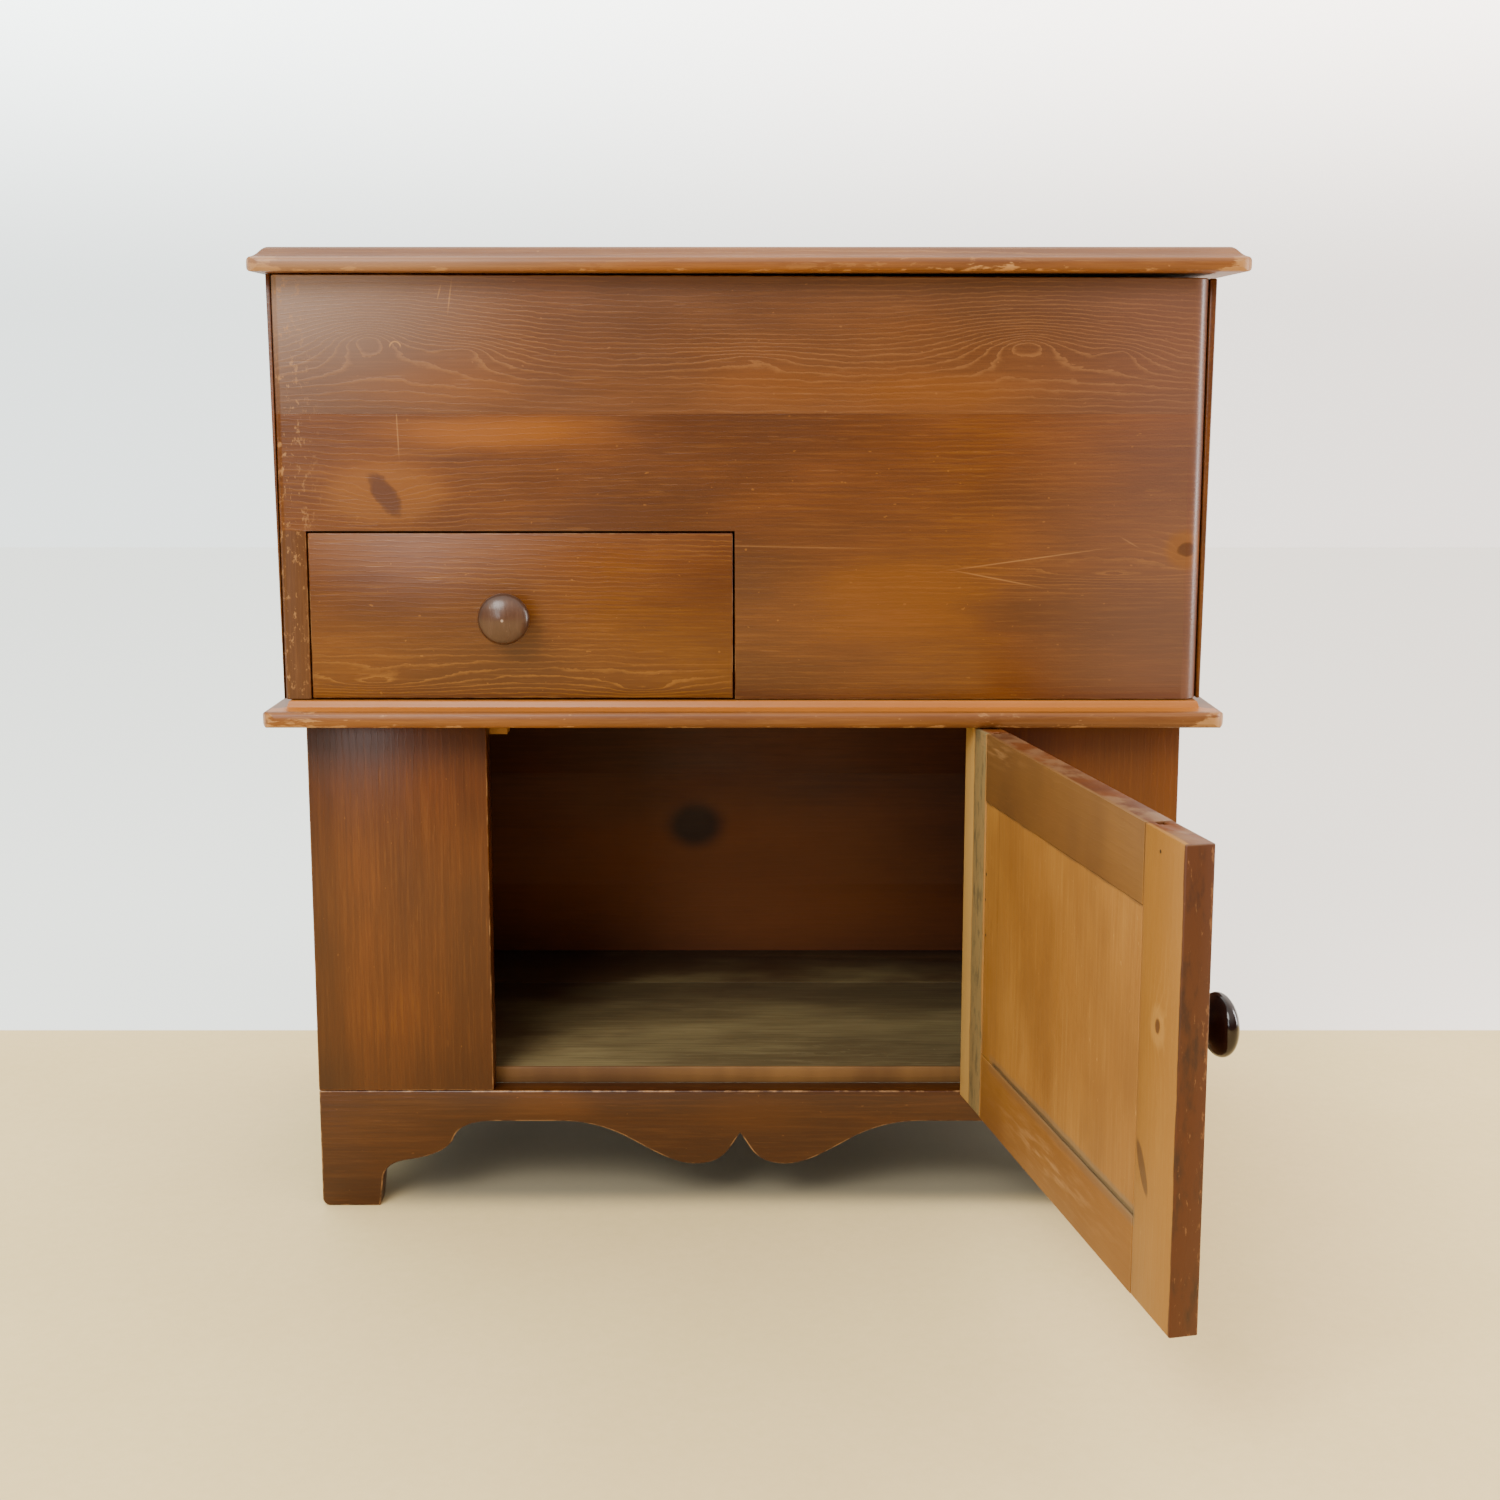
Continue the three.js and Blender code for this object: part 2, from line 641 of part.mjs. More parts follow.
const floorBoard = (y0, y1) => board(
  -INNER_HALF + GAP,
  INNER_HALF - GAP,
  y0,
  y1,
  FLOOR_TOP - FLOOR_THICKNESS,
  FLOOR_TOP,
);
const FLOOR_FRONT = DOOR_THICKNESS + 0.8; // the shut door just clears the floor boards
add(caseGroup, 'floor_board_front', floorBoard(FLOOR_FRONT, FLOOR_SEAM - GAP), greyPine());
add(
  caseGroup,
  'floor_board_rear',
  cut(floorBoard(FLOOR_SEAM, BACK_INNER - GAP), drainHole(FLOOR_TOP - FLOOR_THICKNESS - 1, FLOOR_TOP + 1)),
  greyPine(),
);

// cleats under the ends of the floor boards
for (const [name, side] of [['floor_cleat_left', -1], ['floor_cleat_right', 1]]) {
  const outer = side * (INNER_HALF - GAP);
  const inner = side * (INNER_HALF - CLEAT);
  const top = FLOOR_TOP - FLOOR_THICKNESS - GAP;
  add(
    caseGroup,
    name,
    board(Math.min(outer, inner), Math.max(outer, inner), FLOOR_FRONT, BACK_INNER - GAP, top - CLEAT, top),
    darkPine(),
  );
}

add(
  caseGroup,
  'door_stop_block',
  board(
    STOP_BLOCK.left,
    STOP_BLOCK.right,
    BEHIND_FRONT,
    BEHIND_FRONT + STOP_BLOCK.depth,
    CASE_TOP - STOP_BLOCK.height,
    CASE_TOP,
  ),
  honeyPine(),
);

// ---------------------------------------------------------------- lid

const lidShape = () => mouldedBoard(
  LID_PROFILE,
  LID_SHIFT - LID_HALF_WIDTH,
  LID_SHIFT + LID_HALF_WIDTH,
  LID_BOTTOM,
);
const lidSlice = (y0, y1) => board(-2 * WIDE, 2 * WIDE, y0, y1, LID_BOTTOM - 5, LID_TOP + 5);

add(lidGroup, 'lid_front_board', common(lidShape(), lidSlice(NOSE_Y - 5, LID_SEAM_Y)), stainedPine());
add(lidGroup, 'lid_rear_board', common(lidShape(), lidSlice(LID_SEAM_Y + GAP, BACK + 5)), stainedPine());
['lid_batten_left', 'lid_batten_right'].forEach((name, i) => {
  const x = BATTEN.x[i];
  const half = BATTEN.width / 2;
  const top = LID_BOTTOM - GAP;
  add(
    lidGroup,
    name,
    board(x - half, x + half, BATTEN.front, BATTEN.back, top - BATTEN.thickness, top),
    honeyPine(),
  );
});

const lidSpans = knuckleSpans(LID_HINGE_WIDTH);
['left', 'right'].forEach((side, i) => {
  const x = LID_HINGE_X[i];
  const half = LID_HINGE_WIDTH / 2;
  add(lidGroup, `lid_hinge_leaf_${side}`, lidLeaf(true, x, lidSpans.middle), iron());
  add(caseGroup, `lid_hinge_case_leaf_${side}`, lidLeaf(false, x, lidSpans.outer), iron());
  add(
    caseGroup,
    `lid_hinge_pin_${side}`,
    rodX(LID_PIN.y, LID_PIN.z, PIN_RADIUS, x - half, x + half, 16),
    iron(),
  );
});

// ---------------------------------------------------------------- drawer

const DRAWER_INSIDE_LEFT = DRAWER.left + DRAWER_SIDE_ROOM + DRAWER_WALL;
const DRAWER_INSIDE_RIGHT = DRAWER.right - DRAWER_SIDE_ROOM - DRAWER_WALL;
const DRAWER_BASE = WAIST_TOP + GAP;
const DRAWER_END = HOUSING_FRONT + DRAWER.depth;

add(
  drawerGroup,
  'drawer_front',
  board(DRAWER.left, DRAWER.right, UPPER_FRONT, UPPER_FRONT_BACK, DRAWER.bottom, DRAWER.top),
  stainedPine(),
);
for (const [name, x0] of [
  ['drawer_side_left', DRAWER_INSIDE_LEFT - DRAWER_WALL],
  ['drawer_side_right', DRAWER_INSIDE_RIGHT],
]) {
  add(
    drawerGroup,
    name,
    board(x0, x0 + DRAWER_WALL, HOUSING_FRONT, DRAWER_END, DRAWER_BASE, DRAWER_BOX_TOP),
    honeyPine(),
  );
}
const TRAY_LEFT = DRAWER_INSIDE_LEFT + GAP;
const TRAY_RIGHT = DRAWER_INSIDE_RIGHT - GAP;
const TRAY_BACK = DRAWER_END - DRAWER_BACK;
add(
  drawerGroup,
  'drawer_back',
  board(TRAY_LEFT, TRAY_RIGHT, TRAY_BACK, DRAWER_END, DRAWER_BASE, DRAWER_BOX_TOP - DRAWER_BACK_DROP),
  honeyPine(),
);
add(
  drawerGroup,
  'drawer_bottom',
  board(TRAY_LEFT, TRAY_RIGHT, HOUSING_FRONT, TRAY_BACK - GAP, DRAWER_BASE, DRAWER_BASE + DRAWER_BOTTOM),
  honeyPine(),
);
add(drawerGroup, 'drawer_knob', knob(DRAWER_KNOB.x, UPPER_FRONT - GAP, DRAWER_KNOB.z), darkKnob());

// ---------------------------------------------------------------- door

// The door's pieces are drawn shut, relative to the hinge pin, and the group turns about the pin.
doorHinge.position.set(DOOR_PIN.x, DOOR_PIN.y, 0);
doorHinge.rotation.z = THREE.MathUtils.degToRad(DOOR_OPEN_DEG);
const addDoor = (name, geometry, material) => add(
  doorHinge,
  name,
  geometry.translate(-DOOR_PIN.x, -DOOR_PIN.y, 0),
  material,
);

const STILE_EDGE = { hinge: DOOR.right - HINGE_STILE, latch: DOOR.left + LATCH_STILE };
const RAIL_EDGE = { top: DOOR.top - TOP_RAIL, bottom: DOOR.bottom + BOTTOM_RAIL };
const TENON = { near: GROOVE.near + GAP, far: GROOVE.far - GAP, reach: GROOVE.depth - 2 * GAP };

const stileGroove = (x0, x1) => board(x0, x1, GROOVE.near, GROOVE.far, DOOR.bottom - 1, DOOR.top + 1);
addDoor(
  'door_hinge_stile',
  cut(
    board(STILE_EDGE.hinge, DOOR.right, 0, DOOR_THICKNESS, DOOR.bottom, DOOR.top),
    stileGroove(STILE_EDGE.hinge - 1, STILE_EDGE.hinge + GROOVE.depth),
    ...DOOR_HINGE_Z.map((z) => leafSeat(-1, z)),
  ),
  honeyPine(),
);
addDoor(
  'door_latch_stile',
  cut(
    board(DOOR.left, STILE_EDGE.latch, 0, DOOR_THICKNESS, DOOR.bottom, DOOR.top),
    stileGroove(STILE_EDGE.latch - GROOVE.depth, STILE_EDGE.latch + 1),
  ),
  honeyPine(),
);

// A rail has a stub tenon on each end and a groove along its inner edge for the panel.
function doorRail(z0, z1, grooveLow, grooveHigh) {
  const x0 = STILE_EDGE.latch + GAP;
  const x1 = STILE_EDGE.hinge - GAP;
  const body = join(
    board(x0, x1, 0, DOOR_THICKNESS, z0, z1),
    board(x0 - TENON.reach, x1 + TENON.reach, TENON.near, TENON.far, z0 + 2, z1 - 2),
  );
  return cut(body, board(x0 - 50, x1 + 50, GROOVE.near, GROOVE.far, grooveLow, grooveHigh));
}
addDoor(
  'door_top_rail',
  doorRail(RAIL_EDGE.top, DOOR.top, RAIL_EDGE.top - 1, RAIL_EDGE.top + GROOVE.depth),
  honeyPine(),
);
addDoor(
  'door_bottom_rail',
  doorRail(DOOR.bottom, RAIL_EDGE.bottom, RAIL_EDGE.bottom - GROOVE.depth, RAIL_EDGE.bottom + 1),
  honeyPine(),
);

// The panel floats in the grooves. Its face is fielded with a wide bevel outside and lies nearly
// flush inside. The section is given across the panel from low to high.
function panelSection(low, high) {
  const edge = [low - TENON.reach, high + TENON.reach];
  const outside = { bevel: 30, face: 3.2 };
  const inside = { bevel: 1.2, face: DOOR_THICKNESS - 0.4, quirk: 20.2 };
  return [
    [edge[0], TENON.near],
    [low + 0.5, TENON.near],
    [low + outside.bevel, outside.face],
    [high - outside.bevel, outside.face],
    [high - 0.5, TENON.near],
    [edge[1], TENON.near],
    [edge[1], TENON.far],
    [high - 0.5, TENON.far],
    [high - 0.5, inside.quirk],
    [high - inside.bevel, inside.face],
    [low + inside.bevel, inside.face],
    [low + 0.5, inside.quirk],
    [low + 0.5, TENON.far],
    [edge[0], TENON.far],
  ];
}

function doorPanel() {
  const across = outline(panelSection(STILE_EDGE.latch, STILE_EDGE.hinge));
  const upright = outline(panelSection(RAIL_EDGE.bottom, RAIL_EDGE.top).map(([z, y]) => [y, z]).reverse());
  return common(
    alongZ(across, DOOR.bottom, DOOR.top),
    alongX(upright, DOOR.left, DOOR.right),
  );
}
addDoor('door_panel', doorPanel(), honeyPine());
addDoor('door_knob', knob(DOOR.left + KNOB_INSET, -GAP, DOOR_KNOB_Z), darkKnob());

['top', 'bottom'].forEach((place, i) => {
  const z = DOOR_HINGE_Z[i];
  const half = DOOR_HINGE_HEIGHT / 2;
  addDoor(`door_hinge_leaf_${place}`, doorLeaf(-1, z, doorSpans.middle), iron());
  add(caseGroup, `door_hinge_case_leaf_${place}`, doorLeaf(1, z, doorSpans.outer), iron());
  add(
    caseGroup,
    `door_hinge_pin_${place}`,
    rod(DOOR_PIN.x, DOOR_PIN.y, PIN_RADIUS, z - half, z + half, 16),
    iron(),
  );
});

// ---------------------------------------------------------------- origin

// The box around the icebox at rest reaches from the waist's left nose to the lid's right nose,
// and from the open door's inner corner back to the lid's hinge knuckles.
const openCorner = new THREE.Vector2(DOOR.left - DOOR_PIN.x, DOOR_THICKNESS - DOOR_PIN.y)
  .rotateAround(new THREE.Vector2(0, 0), doorHinge.rotation.z);
const yLow = DOOR_PIN.y + openCorner.y;
const yHigh = LID_PIN.y + KNUCKLE_RADIUS;
const xMiddle = (LID_SHIFT + LID_HALF_WIDTH - WAIST_HALF_WIDTH) / 2;
icebox.position.set(-xMiddle, -(yLow + yHigh) / 2, 0);

export default icebox;
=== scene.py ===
# %% [markdown]
# # A lift-top icebox in stained pine
# The case is solid pine boards, stained a warm brown and varnished. Ice went into a zinc-lined
# well under the lid, food into the cupboard below it. The solid parts come ready made, at their
# real size, as the frame. This notebook dresses them: it softens every sawn edge, and mixes the
# finishes with the marks that years of use have left in them.

# %% Load the frame
import json
import math
import bpy
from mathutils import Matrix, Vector

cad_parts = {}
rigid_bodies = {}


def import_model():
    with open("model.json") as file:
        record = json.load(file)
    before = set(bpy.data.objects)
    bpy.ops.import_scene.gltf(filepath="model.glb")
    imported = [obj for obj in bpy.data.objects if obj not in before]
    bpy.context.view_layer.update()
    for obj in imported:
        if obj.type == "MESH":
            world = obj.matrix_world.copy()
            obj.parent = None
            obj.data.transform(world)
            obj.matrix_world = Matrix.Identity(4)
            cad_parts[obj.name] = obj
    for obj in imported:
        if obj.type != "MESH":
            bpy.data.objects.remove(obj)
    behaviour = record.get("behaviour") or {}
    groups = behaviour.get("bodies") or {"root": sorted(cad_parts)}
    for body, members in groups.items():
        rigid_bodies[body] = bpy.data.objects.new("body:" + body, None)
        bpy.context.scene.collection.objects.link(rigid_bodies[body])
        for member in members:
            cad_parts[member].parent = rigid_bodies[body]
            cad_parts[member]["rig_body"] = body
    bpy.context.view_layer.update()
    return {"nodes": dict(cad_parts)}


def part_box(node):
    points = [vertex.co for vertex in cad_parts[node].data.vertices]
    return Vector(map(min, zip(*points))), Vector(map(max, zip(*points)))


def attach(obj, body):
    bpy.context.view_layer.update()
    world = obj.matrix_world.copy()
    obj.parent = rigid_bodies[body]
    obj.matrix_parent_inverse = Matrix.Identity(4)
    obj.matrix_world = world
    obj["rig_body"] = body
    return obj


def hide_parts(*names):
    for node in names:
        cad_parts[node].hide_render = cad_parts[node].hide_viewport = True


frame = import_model()
MM = 0.001
print("pieces in the frame:", len(frame["nodes"]))

# %% [markdown]
# The camera stands about a metre and a half in front, a little lower than the lid, and looks
# slightly down. A lens of 45 mm on a full frame takes in the whole case from there. The small
# vertical shift puts the lens's axis a little above the middle of the picture.

# %% The camera
CAMERA_PLACE = (0.0011, -1.6458, 0.7679)
CAMERA_PITCH = math.radians(8.475)

bpy.ops.object.camera_add(location=CAMERA_PLACE, rotation=(math.pi / 2 - CAMERA_PITCH, 0, 0))
camera = bpy.context.object
camera.data.lens = 45.02
camera.data.sensor_width = 36
camera.data.shift_y = -0.0608
bpy.context.scene.camera = camera
print("camera at", tuple(camera.location))

# %% [markdown]
# Places that the later cells share come from the frame's own boxes: the waist, the lid, the
# middle of the case and the door's pin. A short name for each keeps the sums readable.

# %% Places taken from the frame
waist_low, waist_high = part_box("waist_board")
lid_low, lid_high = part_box("lid_front_board")
apron_low, apron_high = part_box("front_apron")
pin_low, pin_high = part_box("door_hinge_pin_top")

MIDDLE = (apron_low.x + apron_high.x) / 2
PIN_X = (pin_low.x + pin_high.x) / 2
PIN_Y = (pin_low.y + pin_high.y) / 2
DOOR_OPEN = math.radians(101.96)
print("middle of the case at x =", round(MIDDLE, 4), "door pin at", round(PIN_X, 4), round(PIN_Y, 4))

# %% [markdown]
# ## Mixing a finish
# A material is a net of nodes, and most of them do plain sums. Wrapping a socket in a small
# class lets Python's own operators add those nodes, so that a mask reads like the formula it
# is. One method, `node`, adds any other kind of node.


# %% Sums on sockets
class Term:
    """A value inside a finish, which Python sums can use."""

    def __init__(self, finish, socket):
        self.finish = finish
        self.socket = socket

    def sum(self, operation, *others):
        return self.finish.node("ShaderNodeMath", {"operation": operation}, [self, *others])

    def __add__(self, other):
        return self.sum("ADD", other)

    def __sub__(self, other):
        return self.sum("SUBTRACT", other)

    def __mul__(self, other):
        return self.sum("MULTIPLY", other)

    def __truediv__(self, other):
        return self.sum("DIVIDE", other)

    def __neg__(self):
        return self.sum("MULTIPLY", -1)

    def __rsub__(self, other):
        return self.finish.node("ShaderNodeMath", {"operation": "SUBTRACT"}, [other, self])

    __radd__ = __add__
    __rmul__ = __mul__

    def ramp(self, low, high):
        """0 below low, 1 above high, and a soft step between; high may be the smaller."""
        settings = {"interpolation_type": "SMOOTHSTEP"}
        return self.finish.node("ShaderNodeMapRange", settings, [self, low, high, 0.0, 1.0])

    def within(self, low, high, soft):
        return self.ramp(low - soft, low + soft) * self.ramp(high + soft, high - soft)


# %% The finish
class Finish:
    """One material on a Principled shader."""

    def __init__(self, name, **constants):
        self.material = bpy.data.materials.new(name)
        self.material.use_nodes = True
        self.tree = self.material.node_tree
        self.shader = self.tree.nodes["Principled BSDF"]
        for socket, value in constants.items():
            self.shader.inputs[socket.replace("_", " ")].default_value = value

    def node(self, kind, settings=None, inputs=(), output=0):
        made = self.tree.nodes.new(kind)
        for name, value in (settings or {}).items():
            setattr(made, name, value)
        pairs = inputs.items() if isinstance(inputs, dict) else enumerate(inputs)
        for key, value in pairs:
            if isinstance(value, Term):
                self.tree.links.new(value.socket, made.inputs[key])
            else:
                made.inputs[key].default_value = value
        return Term(self, made.outputs[output])

    def place(self):
        """x, y and z on the object, in metres."""
        spot = self.node("ShaderNodeTexCoord", output="Object")
        return [self.node("ShaderNodeSeparateXYZ", None, [spot], axis) for axis in range(3)]

    def vector(self, x, y, z):
        return self.node("ShaderNodeCombineXYZ", None, [x, y, z])

    def noise(self, vector, scale=1.0, detail=3.0, roughness=0.5, distortion=0.0):
        inputs = {
            "Vector": vector, "Scale": scale, "Detail": detail,
            "Roughness": roughness, "Distortion": distortion,
        }
        return self.node("ShaderNodeTexNoise", None, inputs)

    def mix(self, amount, first, second, blend="MIX"):
        settings = {"data_type": "RGBA", "blend_type": blend}
        return self.node("ShaderNodeMix", settings, {0: amount, 6: first, 7: second}, 2)

    def feed(self, socket, term):
        self.tree.links.new(term.socket, self.shader.inputs[socket])

    def bump(self, height, distance, strength=1.0):
        inputs = {"Strength": strength, "Distance": distance, "Height": height}
        self.feed("Normal", self.node("ShaderNodeBump", None, inputs))


def paint(red, green, blue):
    return (red, green, blue, 1.0)


print("finish helpers ready")

# %% [markdown]
# ## How pine shows its rings
# A plain-sawn board cuts the yearly rings at a flat angle. Its figure is a stack of long
# lines that swerve round knots and close into flame shapes where a ring just grazes the face.
# The same happens if a height field slopes steadily across the board and has a few long
# mounds on it: its contour lines run straight, and bend or close round each mound. The rings
# here are those contour lines.

# %% The rings of a board
def far_squared(along, across, centre_along, centre_across, half_length, half_width, tilt=0.0):
    """How far a spot is from the centre of an oval, squared; 1 on the oval. tilt is in degrees."""
    turn = math.radians(tilt)
    du = along - centre_along
    dv = across - centre_across
    u = (du * math.cos(turn) + dv * math.sin(turn)) / half_length
    v = (dv * math.cos(turn) - du * math.sin(turn)) / half_width
    return u * u + v * v


def mound(*place):
    """A soft mound on the board, 1 at its top. place is as far_squared takes it."""
    return (-far_squared(*place)).sum("EXPONENT")


def peak(*place):
    """A pointed mound, whose rings stay evenly spaced to the top."""
    far = (far_squared(*place) + 0.01).sum("SQRT")
    return (-(far * 1.5)).sum("EXPONENT")


def rings(finish, along, across, depth, spacing, mounds, seed):
    """Fine late-wood lines along the contours of a sloping, swaying height field."""
    drift = finish.noise(finish.vector(along * 1.3 + seed, across * 5.0, depth * 5.0), 1.0, 2.0, 0.45)
    ripple = finish.noise(finish.vector(along * 38.0, across * 95.0, depth * 95.0 + seed), 1.0, 4.0, 0.62)
    height = (across + depth * 0.35) / spacing + drift * (0.035 / spacing) + ripple * 1.25
    for centre_along, centre_across, half_length, half_width, tall in mounds:
        height = height + peak(along, across, centre_along, centre_across, half_length, half_width) * tall
    phase = height.sum("FRACT")
    return phase.ramp(0.62, 0.94) * phase.ramp(1.0, 0.95)


print("ring helpers ready")


# %% [markdown]
# Stain sinks deeper into the soft early wood than into the hard late wood. On a stained board
# the rings therefore show as thin pale lines on a darker ground, the reverse of raw pine. They
# come out clearly only where the board's figure is lively. Under them lie fine fibres, blotches
# where the stain took unevenly, and on top the varnish, which is never equally shiny all over.
# `aged_wood` mixes all of that once, and each finish passes its own colours.

# %% Wood, mixed once for every finish
KNOT_RED = paint(0.052, 0.0130, 0.0050)


FIBRE = 0.42
BLOTCH = 0.7


def aged_wood(name, axes, colours, spacing=0.0045, mounds=(), knots=(), line=0.5, quiet=0.35,
              gloss=(0.26, 0.42), relief=0.00010, nicks=0.5, seed=0.0, touch=None):
    """colours are deep, middle and pale. axes turns x, y, z into along, across and depth.
    A mound is a place, two half sizes and a height in rings; a knot a place, two radii and a tilt."""
    finish = Finish(name, Specular_IOR_Level=0.38)
    along, across, depth = axes(*finish.place())
    deep, middle, pale = (paint(*colour) for colour in colours)
    swells = list(mounds) + [(a, c, 3.4 * long, 3.0 * wide, 4) for a, c, long, wide, _ in knots]
    late = rings(finish, along, across, depth, spacing, swells, seed)
    lively = finish.noise(finish.vector(along * 4.0, across * 9.0, depth * 9.0 + seed), 1.0, 2.0)
    lively = lively.ramp(0.45, 0.62) * quiet
    for centre_along, centre_across, half_length, half_width, _ in swells:
        reach = (half_length * 1.5, half_width * 1.6)
        lively = lively + mound(along, across, centre_along, centre_across, *reach)
    fibres = finish.noise(finish.vector(along * 11.0 + seed, across * 330.0, depth * 330.0), 1.0, 4.0, 0.75)
    streaks = finish.noise(finish.vector(along * 2.4 + seed, across * 75.0, depth * 75.0), 1.0, 3.0, 0.6)
    clouds = finish.noise(finish.vector(along * 4.0 + seed, across * 10.0, depth * 10.0), 1.0, 3.0, 0.5)
    hairs = finish.noise(finish.vector(along * 30.0, across * 330.0, depth * 330.0 + seed), 1.0, 1.0)
    specks = finish.noise(finish.vector(along * 170.0, across * 260.0, depth * 260.0 + seed), 1.0, 1.0)
    colour = finish.mix(clouds.ramp(0.32, 0.68) * BLOTCH + (1 - BLOTCH) * 0.5, deep, middle)
    colour = finish.mix(streaks.ramp(0.52, 0.75) * 0.30, colour, deep)
    colour = finish.mix(late * lively.sum("MINIMUM", 1.0) * line, colour, pale)
    colour = finish.mix(fibres.ramp(0.46, 0.66) * FIBRE, colour, deep)
    colour = finish.mix(fibres.ramp(0.50, 0.34) * (FIBRE * 0.35), colour, pale)
    colour = finish.mix(hairs.ramp(0.70, 0.76) * 0.30 * nicks, colour, pale)
    colour = finish.mix(specks.ramp(0.76, 0.80) * nicks, colour, pale)
    if touch:
        colour = touch(finish, (along, across, depth), colour)
    for centre_along, centre_across, long, wide, tilt in knots:
        place = (along, across, centre_along, centre_across)
        wobble = finish.noise(finish.vector(along, across, seed), 110.0, 3.0) * 0.5
        halo = mound(*place, long * 3.0, wide * 3.4) + wobble * 0.4
        heart = mound(*place, long, wide, tilt) + wobble
        rim = heart.within(0.55, 0.72, 0.08)
        colour = finish.mix(halo.ramp(0.42, 0.80) * 0.55, colour, finish.mix(0.40, middle, pale))
        colour = finish.mix(heart.ramp(0.55, 0.80) * 0.80, colour, KNOT_RED)
        colour = finish.mix(rim * 0.5, colour, deep)
    shine = finish.noise(finish.vector(along * 8.0, across * 20.0, depth * 20.0 + seed), 1.0, 3.0, 0.6)
    dullness = shine * (gloss[1] - gloss[0]) + gloss[0]
    finish.feed("Base Color", colour)
    finish.feed("Roughness", dullness)
    finish.bump(late * 0.4 + fibres * 0.5 + shine * 1.5 - hairs.ramp(0.70, 0.76) * nicks, relief)
    return finish.material


print("wood mixer ready")

# %% [markdown]
# Grain runs the long way of each board: level on the wide front boards, upright on a stile,
# front to back on the ends. The mixer only knows along, across and depth, so a small function
# for each way says which of x, y and z those are. The door stands open at an angle, so its two
# functions turn the place round the hinge pin first.

# %% Which way the grain runs
def level(x, y, z):
    return x, z, y


def upright(x, y, z):
    return z, x, y


def fore_and_aft(x, y, z):
    return y, z, x


def flat_long(x, y, z):
    return x, y, z


def on_door_upright(x, y, z):
    """Height, distance from the pin and depth on the door, which stands open."""
    out = (x - PIN_X) * -math.cos(DOOR_OPEN) - (y - PIN_Y) * math.sin(DOOR_OPEN)
    deep = (y - PIN_Y) * math.cos(DOOR_OPEN) - (x - PIN_X) * math.sin(DOOR_OPEN)
    return z, out, deep


def on_door_level(x, y, z):
    height, out, deep = on_door_upright(x, y, z)
    return out, height, deep


print("grain runs level, upright, fore and aft, and along the door's own pieces")

# %% [markdown]
# ## The stained boards
# One brown stain covers the case, but each kind of board took it differently: greyer on the top
# board, lighter on the drawer and the mouldings, nearly black-brown on the apron. A stain is
# three colours for the mixer, deep, middle and pale, so the shades are kept together here and
# are easy to compare.

# %% Stain colours
STAIN = [(0.054, 0.0125, 0.0006), (0.122, 0.0325, 0.0010), (0.240, 0.092, 0.013)]
TOP_STAIN = [(0.066, 0.0205, 0.0042), (0.118, 0.0370, 0.0070), (0.225, 0.094, 0.028)]
DRAWER_STAIN = [(0.066, 0.0165, 0.0006), (0.140, 0.0410, 0.0012), (0.260, 0.104, 0.015)]
PANEL_STAIN = [(0.052, 0.0118, 0.0005), (0.118, 0.0290, 0.0007), (0.210, 0.072, 0.009)]
NOSE_STAIN = [(0.100, 0.0290, 0.0034), (0.200, 0.0650, 0.0090), (0.330, 0.150, 0.042)]
DARK_STAIN = [(0.030, 0.0070, 0.0006), (0.066, 0.0170, 0.0014), (0.150, 0.052, 0.010)]
# warm colour of thin stain, also used for the painted highlight line on the noses
WARM_STAIN_AND_HIGHLIGHT = paint(0.225, 0.066, 0.0012)
RUBBED = paint(0.360, 0.175, 0.060)
# the colour of the painted greyish sheen of reflected light on the top board
PAINTED_SHEEN_GREY = paint(0.230, 0.150, 0.115)
print("stain colours set")

# %% [markdown]
# Some marks come back on more than one board: warm patches where the stain is thin, flaked
# varnish at the left end, thin scratches, and a painted sheen of reflected light at the right end. Each is a
# small function that lays its mark over a colour and gives the new colour back, so that a board's own
# marks are a short list of places.

# %% Marks that the boards share

def glow(finish, colour, along, across, spots):
    """Warm patches where the stain took thin, each a place, two half sizes and a strength."""
    ragged = finish.noise(finish.vector(along * 9.0, across * 45.0, 0.7), 1.0, 4.0, 0.6) * 0.7
    for x, z, half_length, half_height, strength in spots:
        patch = mound(along, across, MIDDLE + x, z, half_length, half_height) + ragged
        colour = finish.mix(patch.ramp(0.42, 1.35) * strength, colour, WARM_STAIN_AND_HIGHLIGHT)
    return colour


def end_scuffs(finish, along, across, colour):
    """The varnish has cracked and rubbed off in small flakes at the left end."""
    flakes = finish.noise(finish.vector(along * 210.0, across * 120.0, 0.4), 1.0, 4.0, 0.7)
    near_end = (along - MIDDLE).ramp(-0.360, -0.402)
    return finish.mix(flakes.ramp(0.56, 0.66) * near_end * 0.55, colour, RUBBED)


def scratch(finish, along, across, colour, places):
    """Thin pale scratches, each a middle, half a length, a tilt from level and a strength."""
    for x, z, half_length, tilt, strength in places:
        mark = mound(along, across, MIDDLE + x, z, half_length, 0.0007, tilt)
        colour = finish.mix(mark.ramp(0.15, 0.90) * strength, colour, RUBBED)
    return colour


def right_end_painted_sheen(finish, along, colour):
    """A painted sheen: towards the right end a dull purplish veil of reflected light is painted on."""
    return finish.mix((along - MIDDLE).ramp(0.20, 0.40) * 0.32, colour, paint(0.165, 0.086, 0.078))


print("shared marks ready")
